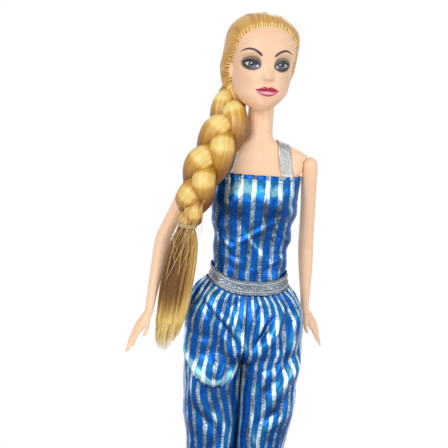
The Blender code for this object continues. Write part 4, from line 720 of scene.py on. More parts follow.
def make_head(doll):
    rises = [0.73]
    while rises[-1] < HEAD_HEIGHT:
        fine = 0.14 if 6 < rises[-1] < 28.5 else 0.5
        rises.append(rises[-1] + (0.08 if rises[-1] < 1.2 else fine))
    rises[-1] = HEAD_HEIGHT

    def place(across, along):
        turn = 0.25 + across + 0.72 * np.sin(math.tau * across) / math.tau
        return head_surface(turn, np.interp(along, even(len(rises)), rises))

    piece = laid_grid("doll_head", 250, len(rises) - 1, place, True)
    x, y, z = ((read_points(piece.data) - np.array(ROOT)) / MM).T
    rise = z - CHIN_Z
    ink, rough = face_paint(x, rise, ease(2.5, -1.5, y), doll.skin)
    roots = above_hairline(x, rise, y)[:, None]
    ink = PAINT_STRENGTH * mean(ink, np.array(doll.hair_middle)[:3] * 0.8, roots)
    write_attribute(piece, "paint", np.concatenate([ink, np.ones((len(ink), 1))], 1), "FLOAT_COLOR")
    write_attribute(piece, "rough", rough)
    piece.data.transform(placing(HEAD_PLACE, HEAD_TURN) @ Matrix.Translation(-ROOT))
    return piece


def make_ear(name, side):
    """Ear: a shallow cup whose rim stands out behind."""

    def place(across, reach):
        turn = math.tau * across
        y, z = (1.95 * np.cos(turn) + 0.35 * np.sin(turn)) * reach, 3.4 * reach * np.sin(turn)
        rim = 1.2 * bell(reach - 0.78, 0.2) * (0.75 + 0.25 * np.cos(turn - 0.9))
        out = (12.2 if side > 0 else 13.2) + rim - 0.25 * bell(reach, 0.35) + 0.5 * (1 - reach)
        return xyz(side * (out - 0.9 * ease(0.86, 1, reach)), y, CHIN_Z + 16.6 + z)

    piece = laid_grid(f"{name}_ear", 40, 16, place, True, HEAD_PLACE, HEAD_TURN)
    mend()
    return piece


# Sections of neck, shoulders and upper chest: height over the shoulder, half width, front, back, squareness
CHEST = [
    (-2, 20.5, 6.7, 7.3, 2.3), (2, 20.9, 6.3, 6.9, 2.3), (3.6, 21.9, 5.9, 6.7, 2.3),
    (4.5, 21.5, 5.7, 6.6, 2.3),
    (5.5, 19.9, 5.6, 6.5, 2.3), (6.7, 17.4, 5.55, 6.4, 2.25), (7.8, 14.4, 5.55, 6.35, 2.2),
    (8.8, 11, 5.65, 6.3, 2.1), (9.6, 8.3, 5.75, 6.2, 2), (10.8, 6.6, 5.7, 6, 2), (12.8, 5.75, 5.6, 5.7, 2),
    (NECK_TOP_Z - SHOULDER_Z, 5.5, 5.5, 5.5, 2),
]


def make_chest():
    """Smooth skin of neck, shoulders and upper chest, over the shells, with a hollow for each arm's top."""
    rows = [row for row in BODY if row[0] <= SHOULDER_Z - 4]
    rows += [(SHOULDER_Z + row[0], *row[1:]) for row in CHEST]

    def place(across, along):
        height = mean(SHOULDER_Z - 22, NECK_TOP_Z, along)
        x, plain_y, y = body_section(rows, height, across, SKIN_GAP)
        hollow = np.hypot(plain_y, height - SHOULDER_Z) < SHOULDER_HOLLOW
        return xyz(np.where(hollow, np.clip(x, -HOLLOW_X, HOLLOW_X), x), y, height)

    return laid_grid("chest_skin", 192, 130, place, True)


# Hair

HAIR_CENTRE = np.array((0, 1.5, CHIN_Z + 20))
# The hairline round the head: up one side, over the brow, down the other and round the nape
HAIR_SIDE = np.array([
    (9.5, 10.5, 5.6), (13, 6.5, 9), (14, 4.4, 14), (14, 2.6, 19), (14, -0.6, 22.4), (13.6, -4.5, 25),
    (13.2, -6, 27.5), (12.2, -7.6, 30.8), (10, -9.4, 34.2), (7.1, -10.2, 36.5), (3.6, -10.7, 37.8),
])
HAIR_NAPE = [(5, 13, 4.6), (0, 13.8, 4.4), (-5, 13, 4.6), (-9.5, 10.5, 5.6)]
HAIR_LOOP = np.concatenate([HAIR_SIDE * (-1, 1, 1), [(0, -10.9, 38.2)], HAIR_SIDE[::-1], HAIR_NAPE])
# Sections of the hair in shares of its sizes: height, half width, front, back
HAIR_SHARES = [
    (0.115, 0.66, -0.3, 0.72), (0.2, 0.84, -0.18, 0.86), (0.32, 0.95, -0.1, 0.95), (0.44, 1, 0.3, 1),
    (0.53, 1, 0.58, 1), (0.6, 0.985, 0.78, 1), (0.7, 0.97, 0.97, 0.97), (0.79, 0.93, 0.98, 0.93),
    (0.875, 0.8, 0.86, 0.82), (0.94, 0.58, 0.62, 0.62), (0.985, 0.3, 0.3, 0.36), (1, 0.02, 0.02, 0.02),
]
HAIR = [
    (share * (HAIR_TOP - HAIR_SINK), half * HAIR_HALF, front * HAIR_FRONT, back * HAIR_BACK)
    for share, half, front, back in HAIR_SHARES
]


def hair_surface(turn, rise):
    row = along_rows(HAIR, rise)
    centre, depth = (row[:, 3] - row[:, 2]) / 2, (row[:, 3] + row[:, 2]) / 2
    x, y = oval(math.tau * turn, row[:, 1], depth, depth, 2.2)
    return xyz(np.where(x > 0, 0.95 * x, x), y + centre, CHIN_Z + rise)


def surface_tree(surface, low, high, columns=150, rows=110):
    turns, rises = np.meshgrid(np.arange(columns) / columns, np.linspace(low, high, rows))
    points = surface(turns.ravel(), rises.ravel())
    return BVHTree.FromPolygons(points.tolist(), tube_faces(rows, columns, capped=False))


def cast(tree, directions, spare):
    """Distance from the middle of the head to a surface, along each direction."""
    hits = [tree.ray_cast(Vector(HAIR_CENTRE), Vector(way))[3] for way in directions.reshape(-1, 3)]
    return np.array([spare if hit is None else hit for hit in hits]).reshape(directions.shape[:2])


def hair_paths(starts, steps):
    """Directions from the middle of the head along strands that sweep from the hairline to the braid."""
    loop = HAIR_LOOP + (0, 0, CHIN_Z)
    first = unit(curve_points(loop, starts) - HAIR_CENTRE)
    x, y, z = BRAID_ROUTE[0]
    cosine, sine = math.cos(HEAD_TURN), math.sin(HEAD_TURN)
    gather = np.array((x * cosine + y * sine, y * cosine - x * sine, z))
    last = np.broadcast_to(unit(gather - HAIR_CENTRE), first.shape)
    lift = (0.3 + 0.7 * ease(-0.95, 0.1, first[:, 0]))[:, None]
    rise = xyz(np.zeros(len(first)), np.full(len(first), 0.7), 0.28 * ease(-0.95, 0.2, first[:, 0]))
    second = unit(first + rise * lift)
    third = unit(mean(second, last) + np.array((0, 0.6, 0.1)) * lift)
    table = np.stack([first, second, third, last], 1)
    place = steps * 3
    index = np.minimum(place.astype(int), 2)
    corners = (table[:, np.clip(index + offset, 0, 3)] for offset in (-1, 0, 1, 2))
    return unit(spline(*corners, (place - index)[None, :, None]))


def hair_depth(paths, steps, scalp, shell):
    """How far out the hair lies: it lifts off the scalp at its root and runs on at its full depth."""
    inner = cast(scalp, paths, 13)
    outer = np.maximum(cast(shell, paths, 16), inner + 0.9)
    return inner + (outer - inner) * np.sqrt(1 - (1 - np.clip(steps / HAIR_ROOT, 0, 1)) ** 2)


def make_swept_hair(doll, scalp, shell):
    """Hair swept back in one skin, with tufts along the hairline, lighter on the tufts and darker between
    them as painted highlight and shade.
    """
    columns, rows = HAIR_COLUMNS, HAIR_ROWS
    starts, steps = even(columns + 1), even(rows + 1) ** 1.35
    paths = hair_paths(starts, steps)
    phase = starts * doll.hair_tufts + 0.22 * np.sin(starts * 140) + 0.1 * np.sin(starts * 389)
    ridge = np.abs(np.sin(math.pi * phase))[:, None] ** 0.7
    fade = 0.7 * bell(steps, 0.045) + 0.05
    away = ease(0.03, 0.2, steps)
    radius = hair_depth(paths, steps, scalp, shell) + (ridge - 0.75) * fade * ease(0.0, 0.03, steps)
    radius = radius + 0.22 * wander(columns + 1, 7, 44)[:, None] * away - 0.25 * ease(0.02, 0, steps)
    points = HAIR_CENTRE + paths * radius[:, :, None]
    # painted highlight on the tufts and painted shade in the gaps between them, by the tufts' relief
    tuft_highlight_and_gap_shade = 0.1 * bell(steps, 0.04) + 2.0 * (ridge - 0.66) * bell(steps, 0.05)
    tone_and_painted_light = 0.5 + tuft_highlight_and_gap_shade + 0.14 * wander(columns + 1, 23, 70)[:, None] * away
    marks = {}

    def place(across, along):
        spot = np.rint(across * columns).astype(int), np.rint(along * rows).astype(int)
        marks["tone_and_painted_light"] = tone_and_painted_light[spot]
        return points[spot]

    return laid_grid("swept_hair", columns, rows, place, True, HEAD_PLACE, HEAD_TURN, marks)


def make_swept_strands(doll, scalp, shell):
    count = doll.hair_strands
    draw = np.random.default_rng(11)
    starts = (np.arange(count) + draw.uniform(0, 1, count)) / count
    steps = 0.05 + 0.95 * even(16) ** 1.3
    paths = hair_paths(starts, steps)
    sway = np.stack([wander(16, 100 + number, 4) for number in range(count)])
    side = np.cross(paths, np.gradient(paths, axis=1))
    side = side / np.maximum(np.linalg.norm(side, axis=-1, keepdims=True), 1e-6)
    arch = np.sin(math.pi * steps)
    paths = unit(paths + side * (sway * arch * 0.035)[:, :, None])
    proud = draw.uniform(-0.3, 0.0, (count, 1)) * ease(0, 0.12, steps)
    radius = hair_depth(paths, steps, scalp, shell) + proud - 0.2 - 0.4 * ease(0.13, 0.05, steps)
    line = HAIR_CENTRE + paths * radius[:, :, None]
    size = draw.uniform(0.16, 0.3, (count, 1)) * (0.75 + 0.25 * arch)
    tone_and_painted_light = draw.uniform(0.36, 0.72, count)
    return strand_bundle("swept_strands", line, size, tone_and_painted_light, 4, 0.6, paths, HEAD_PLACE, HEAD_TURN)


def make_lock(number, doll):
    """One lock of the braid, fat where it crosses in front, with the fine relief of its strands, and painted
    light in its colour: a highlight where it crosses in front, shade where it passes behind, at its edges and
    further down the braid.
    """
    shares, step = even(LOCK_ROWS), 0.5 / LOCK_ROWS
    centre = curve_points(BRAID_ROUTE, shares)
    run = unit(curve_points(BRAID_ROUTE, shares + step) - curve_points(BRAID_ROUTE, shares - step))
    across = unit(np.cross(run, np.array((-0.25, -1, 0.35))))
    outward = unit(np.cross(across, run))
    length = np.linalg.norm(np.diff(centre, axis=0), axis=1).sum()
    width = doll.braid_width / MM * np.interp(shares, even(10), BRAID_WIDTH_SHARES)
    phase = BRAID_START_TURN + math.tau * (length / BRAID_PITCH * shares + number / 3)
    gathered = width * (1 - 0.45 * ease(0.86, 1, shares))
    lane = centre + np.array((1.4, 0, 0)) * bell(shares - 0.16, 0.14)[:, None]
    lane = lane + across * (gathered * LANE_WIDTH * np.sin(phase))[:, None]
    lane = lane + outward * (gathered * LANE_DEPTH * np.sin(2 * phase))[:, None]
    run = unit(np.gradient(lane, axis=0))
    flat = unit(np.cross(outward, run))
    normal = np.cross(run, flat)
    half = width * LOCK_HALF * (1 + 0.1 * np.sin(2 * phase))
    depth = width * LOCK_DEPTH * (1 + 0.12 * np.sin(2 * phase))
    facing = np.sin(2 * phase + 0.25)
    # painted light: lighter near the top of the braid, darker further down
    tone_and_painted_light = 0.46 + 0.12 * ease(0.45, 0.1, shares) - 0.31 * shares
    # painted highlight where the lock crosses in front, painted shade where it passes behind
    tone_and_painted_light = tone_and_painted_light + 0.34 * facing + 0.34 * bell(facing - 0.96, 0.1)
    marks = {}

    def place(around, along):
        row = np.rint(along * (len(shares) - 1)).astype(int)
        angle = math.tau * around
        x, y = oval(angle, half[row], depth[row], depth[row], 2.1)
        strand = 0.02 * np.sin(7 * angle + 2 * np.sin(row * 0.05 + number))
        strand = strand + 0.012 * np.sin(31 * angle + row * 0.03 + number)
        # painted shade towards the edges of the lock
        marks["tone_and_painted_light"] = tone_and_painted_light[row] - 0.34 * np.cos(angle) ** 2
        taper = 1 - 0.98 * np.maximum(ease(0.09, 0, along) ** 1.5, ease(0.99, 1, along))
        size = ((1 + strand) * taper)[:, None]
        return lane[row] + flat[row] * x[:, None] * size + normal[row] * y[:, None] * size

    piece = laid_grid(f"hair_lock_{number + 1}", 84, len(shares) - 1, place, True, marks=marks)
    mend()
    return piece


TAIL_TOP = BRAID_ROUTE[-1] + unit(BRAID_ROUTE[-1] - BRAID_ROUTE[-2]) * 1.8
# The tail by the share of its fall: drift, half width, depth
TAIL_ROWS = [
    (-0.1, -0.12, 0.4, 1.2), (-0.04, -0.03, 0.44, 1.2), (0.01, 0, 0.46, 1.2), (0.05, 0.02, 0.6, 1.15),
    (0.11, 0.07, 0.76, 1.05), (0.25, 0.2, 0.92, 1), (0.45, 0.4, 1, 1), (0.66, 0.58, 0.99, 0.94),
    (0.82, 0.78, 0.9, 0.8), (0.92, 0.9, 0.78, 0.66), (1, 1, 0.66, 0.5),
]


def tail_place(fall, x, y):
    rows = along_rows(TAIL_ROWS, fall)
    side = x * rows[:, 2] * TAIL_HALF - TAIL_DRIFT * rows[:, 1]
    return TAIL_TOP + xyz(side, -y * rows[:, 3] * TAIL_DEPTH, -TAIL_LENGTH * fall)


def make_tail_core():
    marks = {}

    def place(around, along):
        angle = math.tau * around
        marks["tone_and_painted_light"] = 0.42 + 0.3 * ease(0.2, 1, np.cos(angle))
        relief = 1 + 0.05 * np.sin(13 * angle) + 0.03 * np.sin(29 * angle + 2)
        reach = 0.86 * relief * (1 - 0.98 * np.maximum(ease(0.01, 0, along), ease(0.98, 1, along)))
        return tail_place(along * 0.86 - 0.08, reach * np.cos(angle), reach * np.sin(angle))

    piece = laid_grid("tail_core", 96, 60, place, True, marks=marks)
    mend(merge=False)
    return piece


def make_tail_strands(doll):
    """Strands round the tail's core that end at different heights."""
    count = doll.tail_strands
    draw = np.random.default_rng(5)
    angle = math.tau * np.arange(count) * 0.618
    reach = np.sqrt((np.arange(count) + 0.5) / count) * 0.4 + 0.62
    steps = even(15)
    lines, sizes = [], []
    for number, (x, y) in enumerate(zip(reach * np.cos(angle), reach * np.sin(angle))):
        end = draw.uniform(0.82, 1.0) - 0.07 * x**2 - 0.05 * (x + 0.3) ** 2
        fall = 0.01 + steps * (min(end, 1) - 0.01)
        sway = 0.07 * wander(15, 900 + number, 3) * steps
        lines.append(tail_place(fall, x * (1 - 0.16 * steps**3) + sway, y * (1 - 0.2 * steps**3)))
        sizes.append(draw.uniform(0.2, 0.36) * (1 - 0.8 * steps**2.4))
    tone_and_painted_light = 0.3 + 0.42 * ease(0.2, 0.95, reach * np.cos(angle)) + draw.uniform(-0.13, 0.18, count)
    return strand_bundle("tail_strands", lines, sizes, np.clip(tone_and_painted_light, 0, 1), flat=0.7)


def make_wisps(doll):
    """Stray hairs that bow off the lower braid and run into the tail."""
    draw = np.random.default_rng(17)
    lines = []
    for _ in range(doll.stray_hairs):
        start = curve_points(BRAID_ROUTE, draw.uniform(0.6, 0.92, 1))[0] + (draw.uniform(-5, 5), -4.5, 0)
        fall = draw.uniform(0.08, 0.5)
        end = TAIL_TOP + (draw.uniform(-5, 4) - TAIL_DRIFT * fall, -2.2, -TAIL_LENGTH * fall)
        bow = mean(start, end) + (draw.uniform(-4, 4), draw.uniform(-3, -1), 0)
        lines.append(curve_points([start, bow, end], even(15)))
    sizes, tone_and_painted_light = np.full((len(lines), 15), 0.085), draw.uniform(0.6, 1, len(lines))
    return strand_bundle("stray_hairs", lines, sizes, tone_and_painted_light)


def make_elastic():
    """Clear band wound two and a half times round the hair."""
    steps = even(90)
    angle = math.tau * 2.5 * steps
    reach = 3.7 + 0.12 * np.sin(3 * angle)
    coil = xyz(reach * np.cos(angle), 0.92 * reach * np.sin(angle), 1.7 * (0.5 - steps))
    line = TAIL_TOP + (0.3, 0, 0.4) + coil
    return strand_bundle("hair_band", [line], [np.full(90, 0.55)], [0.5], 10, 1.0, (0, 0, 1))


# Arms


def turned(degrees, axis):
    return np.array(Matrix.Rotation(math.radians(degrees), 3, axis))


def tube_rings(path, radii, across, flat, sides=12):
    run = unit(np.gradient(path, axis=0))
    outward = unit(np.cross(run, across))
    side = np.cross(outward, run)
    angle = math.tau * np.arange(sides) / sides
    ring = side[:, None] * np.cos(angle)[:, None] + outward[:, None] * (flat * np.sin(angle))[:, None]
    return path[:, None] + ring * radii[:, None, None]


def rings_mesh(name, rings):
    """Closed tube through rings, as an object."""
    mesh = bpy.data.meshes.new(name)
    mesh.from_pydata(rings.reshape(-1, 3).tolist(), [], tube_faces(*rings.shape[:2]))
    return add_object(name, mesh)


def make_arm(name):
    """Arm, palm, fingers and thumb, melted into one smooth moulding."""
    side, swung, raised, lean, forearm, splay, slim = ARMS[name]
    down, aside = np.array((0, 0, -1.0)), np.array((side, 0, 0))
    fore = turned(-side * lean, "Y") @ np.array(Matrix.Rotation(-ELBOW_BEND, 3, "X")) @ down
    hand = turned(-side * splay, "Y") @ fore
    elbow = down * UPPER_ARM
    wrist = elbow + fore * forearm
    # Middle, half width, half depth and share of the hand's turn
    rows = [
        (down * -3.75 - 0.55 * aside, 0.3, 0.5, 0),
        (down * -3.5 - 0.5 * aside, 1.45, 1.8, 0),
        (down * -2.3 - 0.3 * aside, 2.65, 3.2, 0),
        (down * 0.6, 3.3, 3.9, 0),
        (down * 8.6 - 0.15 * aside, 3.5, 3.9, 0),
        (down * 19.5, 3.38, 3.6, 0),
        (down * 33.5, 3.35, 3.4, 0),
        (elbow + (fore - down) * 0.9, 3.45, 3.5, 0),
        (elbow + fore * 5, 3.4, 3.4, 0),
        (elbow + fore * 14, 2.95, 2.9, 0.1),
        (elbow + fore * forearm * 0.78, 2.2, 2.1, 0.5),
        (wrist, 2.0, 1.7, 1),
        (wrist + hand * 3.2, 2.3, 1.6, 1),
        (wrist + hand * 6.6, 2.65, 1.4, 1),
        (wrist + hand * 9.4, 2.5, 1.15, 1),
        (wrist + hand * 10.6, 1.9, 0.8, 1),
    ]
    centres = curve_points([row[0] for row in rows], even(90))
    sizes = curve_points([row[1:] for row in rows], even(90))
    run = unit(np.gradient(centres, axis=0))
    turn = side * math.radians(50) * sizes[:, 2]
    outward = unit(np.cross(xyz(np.cos(turn), np.sin(turn), np.zeros(len(turn))), run))
    across = np.cross(run, outward)
    angle = math.tau * np.arange(28) / 28
    x, y = oval(angle[None], sizes[:, :1], sizes[:, 1:2], sizes[:, 1:2], 2.1)
    rings = centres[:, None] + across[:, None] * x[:, :, None] - outward[:, None] * y[:, :, None]
    shells = [rings_mesh(f"{name}_arm_skin", rings)]
    across, palm = across[-1], -outward[-1]
    curl = palm * side * (1 if np.dot(palm, (0, 1, 0)) * side > 0 else -1)
    steps = even(9)[:, None]
    radii = 0.78 * np.array([1, 0.98, 0.95, 0.96, 0.9, 0.84, 0.78, 0.62, 0.3])
    for finger, (offset, length) in enumerate(((-1.62, 8.2), (-0.54, 10.6), (0.54, 9.6), (1.56, 7.2))):
        start = wrist + hand * 8.6 + across * offset
        way = (hand - across * offset * 0.045) * length * slim
        path = start + way * steps + curl * (1.3 + 0.3 * finger) * steps**2
        shells.append(rings_mesh("finger", tube_rings(path, radii, across, 0.92)))
    thumb = across * -side
    start = wrist + hand * 2.2 + thumb * 1.2
    bow = thumb * (3.9 * np.sin(steps * 1.9) / 0.95 * 0.75)
    path = start + hand * 8.4 * steps + bow + curl * 1.2 * steps
    radii = np.array([1.25, 1.2, 1.1, 1.0, 0.95, 0.92, 0.86, 0.68, 0.3])
    shells.append(rings_mesh("thumb", tube_rings(path, radii, across, 0.95)))
    select(*shells)
    bpy.ops.object.join()
    piece = shells[0]
    swing = Matrix.Rotation(math.radians(swung), 4, "X")
    swing = swing @ Matrix.Rotation(-side * math.radians(raised), 4, "Y")
    pivot = in_scene((side * SHOULDER_HALF, 0, SHOULDER_Z))
    piece.data.transform(Matrix.Translation(pivot) @ swing @ Matrix.Scale(MM, 4))
    melt = piece.modifiers.new("melt", "REMESH")
    melt.mode = "VOXEL"
    melt.voxel_size = MELT * MM
    soften(piece, 5)
    bpy.ops.object.shade_smooth()
    return piece


# Suit


def cloth_noise(points, size, seed):
    """Smooth relief of the cloth, by place."""
    shift = Vector((seed * 7.3, seed * 3.1, seed * 5.7))
    return np.array([noise.noise(Vector(point) / size + shift) for point in points])


# Creases of the bodice: middle in x and z, slope, depth, length
SLANTS = [
    (3, 198, -0.75, 1.0, 16), (-9, 190, 0.9, 0.7, 9), (9, 184, -0.55, 0.8, 10),
    (-4, 183, 0.4, 0.6, 9), (13, 196, 1.2, 0.6, 9),
]


def panel(name, first, last, columns):
    """Fitted panel of the bodice: gathered along the neckline, creased where it tapers to the belt, with
    painted highlights over the bust and along a slanting fold.
    """
    low, high = BODICE_LOW, NECKLINE_Z
    cloth = {}

    def place(across, along):
        turn = mean(first, last, across)
        height = mean(low, high, along)
        plain = body_surface(height, turn, CLOTH_GAP)
        angle = math.tau * turn
        cloth["width"] = cloth_width(angle, BODICE_CLOTH)
        gather = 0.24 * np.sin(turn * 30 * math.tau + 2 * np.sin(turn * 9))
        gather = gather * ease(high - 7, high - 1.2, height)
        gather = gather - 0.22 * bell(height - high + 1.9, 0.45)
        crease = cloth_noise(plain * (1, 1, 1.2), 8, 1) * 0.5
        crease = crease + cloth_noise(plain * (1, 1, 1.6), 3.6, 2) * 0.16
        x, y = plain[:, 0], plain[:, 1]
        front = ease(2, -4, y)
        for centre_x, centre_z, slope, depth, length in SLANTS:
            off = (height - centre_z) + slope * (x - centre_x)
            run = np.hypot(x - centre_x, height - centre_z)
            crease = crease + depth * front * bell(off, 1.5) * bell(run, length) * 0.8
        side_fold = 0.5 * np.sin(height * 0.55 + 1.5 * x / 17) * ease(9, 16, np.abs(x))
        side_fold = side_fold * ease(high - 4, high - 14, height)
        pull = 0.28 * np.sin(angle * 13 + 2 * np.sin(angle * 3)) * ease(low + 11, low + 1, height)
        grow = np.maximum(gather + crease + pull + side_fold + 0.4, 0)
        hem = 0.12 * np.sin(turn * 30 * math.tau + 1.2) * ease(high - 1.2, high, height)
        # painted highlights over the bust and along a slanting fold, added to the gleam
        bust_highlight = 0.45 * bump(x, height, -5, BUST_Z + 4, 9, 3.4)
        bust_highlight = bust_highlight + 0.3 * bump(x, height, 11, BUST_Z + 5, 5, 4)
        slash_highlight = 0.45 * bump(height + 1.1 * (x - 1), height - x, 192, 191, 1.6, 16)
        cloth["shine"] = (bust_highlight + slash_highlight) * front
        return body_surface(height, turn, CLOTH_GAP + grow) + xyz(0 * hem, 0 * hem, hem)

    piece = laid_grid(name, columns, 150, place)
    write_cloth(piece, **cloth)
    return thicken(piece, CLOTH)


ROUND_ANGLES = math.pi * even(361)
ROUND_POINTS = np.stack(oval(ROUND_ANGLES - math.pi / 2, 1, 0.58, 0.58, 2.3), 1)
ROUND_RUN = np.concatenate([[0], np.cumsum(np.linalg.norm(np.diff(ROUND_POINTS, axis=0), axis=1))])


def cloth_width(angle, half):
    """Width of cloth in metres from the middle of the front to an angle round the body's oval."""
    offset = (angle + math.pi / 2 + math.pi) % math.tau - math.pi
    return np.sign(offset) * np.interp(np.abs(offset), ROUND_ANGLES, ROUND_RUN) * half * MM


def write_cloth(piece, width, shine=0.0):
    """Stores the width of cloth and its gleam, a painted reflection and shade: most where it leans up or to a
    side, least where it leans down, plus the painted highlights given.
    """
    aside, _, up = read_points(piece.data, "normal").T
    # painted reflection and shade by the way the cloth faces
    painted_reflection = 0.34 * ease(0.18, 0.62, up) - 0.16 * ease(-0.08, -0.4, up)
    painted_reflection = painted_reflection + 0.22 * ease(0.72, 0.97, np.abs(aside))
    write_attribute(piece, "cloth", width)
    write_attribute(piece, "gleam", 0.36 + painted_reflection + shine)


# Sections of one half of the trousers: height, half width, depth of front and back
TROUSERS = [
    (BELT_Z - 3.3, 18.3, 10.5, 10.5), (169.216, 21.63, 11.74, 12.1), (163.24, 24.368, 13.56, 14.2),
    (151.62, 25.7, 14.6, 15.4), (CROTCH_Z, 25.443, 14.6, 15.4), (128.7, 24.672, 14.162, 14.938),
    (115.14, 23.901, 13.578, 14.322), (101.58, 21.845, 12.848, 13.552), (86.89, 20.56, 12.118, 12.936),
    (72.2, 19.789, 11.388, 12.32), (57.51, 18.761, 10.512, 11.088), (42.82, 17.733, 9.052, 9.24),
    (32.65, 16.705, 7.3, 7.7), (CUFF_Z, FOOT_APART + CUFF_HALF, CUFF_DEPTH, CUFF_DEPTH),
]
# Creases of the front of the trousers: places in x and z, depth, width; a positive depth is a groove
CREASES = [
    ([(-18, 166), (-9, 156), (-2.6, 147), (-0.3, 141)], 1.3, 2.4),
    ([(-8, 168), (-6, 158), (-2, 148)], 0.8, 1.8),
    ([(12.5, 165), (8, 154), (2, 143)], 1.4, 2.3),
    ([(5.5, 168), (3.4, 155), (1, 143)], 0.8, 1.8),
    ([(19.5, 168), (16, 152), (20, 138)], 1.1, 2.4),
    ([(25, 150), (19, 138), (10, 126), (3, 108)], 1.2, 3.0),
    ([(-24, 131), (-19, 117), (-9, 108), (-3, 96)], 1.1, 3.0),
    ([(23, 133), (17, 120), (8, 112), (3, 100)], 1.1, 3.0),
    ([(5, 128), (3.6, 112), (6.4, 92), (4, 74)], 0.8, 2.4),
    ([(-2.4, 121), (-8, 105), (-16, 92), (-20, 76)], 0.9, 3.0),
    ([(3, 108), (10, 96), (17, 87), (19, 70)], 0.9, 3.0),
    ([(-6.5, 96), (-4.4, 82), (-7, 66), (-5, 50)], 0.8, 2.4),
    ([(-19, 84), (-12, 68), (-6, 58)], 0.9, 2.8),
    ([(18, 80), (12, 64), (6, 54)], 0.9, 2.8),
    ([(9, 66), (7.6, 52), (10, 38)], 0.7, 2.2),
    ([(-9.6, 54), (-11, 42), (-8.6, 34)], 0.7, 2.2),
]
# Rims of cloth that hangs over: places in x and z, depth of the step, reach of the roll inside it
SWAGS = [
    (
        [(-27, 150), (-26.3, 143), (-23, 135.3), (-14.8, 128.3), (-8, 128.8), (-2.6, 134.3), (-0.8, 141)],
        3.0,
        17,
    ),
    ([(1, 142), (5, 136), (11, 137.5), (18, 143), (24, 152)], 0.8, 12),
]
# Bulges of the front: x, z, half width, half height, rise
BULGES = [
    (-20, 158, 6, 7, 0.9),
    (14, 148, 7, 13, 1.3),
    (10, 125, 8, 9, 0.9),
    (-11, 105, 8, 12, 0.8),
    (9, 98, 7, 12, 0.8),
]


def crease_line(points, x, z):
    """Distance from a crease, the side of it, and how it dies out towards its ends."""
    line = curve_points(points, even(36))
    near = np.full(len(x), 99.0)
    side, fade = np.zeros(len(x)), np.zeros(len(x))
    for index, (px, pz) in enumerate(line):
        gap = np.hypot(x - px, z - pz)
        ahead = line[min(index + 1, 35)] - line[max(index - 1, 0)]
        closer = gap < near
        near = np.where(closer, gap, near)
        side = np.where(closer, np.sign(ahead[0] * (z - pz) - ahead[1] * (x - px)), side)
        fade = np.where(closer, math.sin(math.pi * (0.06 + 0.88 * index / 35)), fade)
    return near, side, fade


def creased(x, z, lift, hang):
    """Rise and painted highlight of the front or back cloth, and how far its stripes slip below a rim."""
    swell, shine, slip = np.zeros(len(x)), np.zeros(len(x)), np.zeros(len(x))
    for points, depth, reach in SWAGS:
        near, side, fade = crease_line(points, x, z - lift)
        inside = (1 - bell(near, 1.5)) * bell(near, reach)
        roll = np.where(side > 0, inside, -0.15 * np.exp(-near / 1.5))
        swell = swell + hang * depth * fade**0.6 * roll
        # painted highlight along the rolled rim of each swag
        rim = bell(near - 2.3, 1.8) * (side > 0)
        shine = shine + 0.32 * hang * depth * fade * rim
        slip = slip + 0.8 * hang * depth * fade * (side < 0) * bell(near, 11)
    for points, depth, width in CREASES:
        near, side, fade = crease_line(points, x, z - lift)
        ridge = 0.75 * bell(near - 1.5 * width, width) * np.where(side > 0, 1, 0.45)
        swell = swell + depth * fade * (ridge - bell(near, 0.6 * width))
        # painted highlight along the ridge beside each crease
        lit = bell(near - 1.25 * width, 0.55 * width) * np.where(side > 0, 1, 0.2)
        shine = shine + 0.3 * depth * fade * lit
    for centre_x, centre_z, half, height, rise in BULGES:
        swell = swell + rise * bump(x, z, centre_x, centre_z + lift, half, height)
    return swell, shine, slip


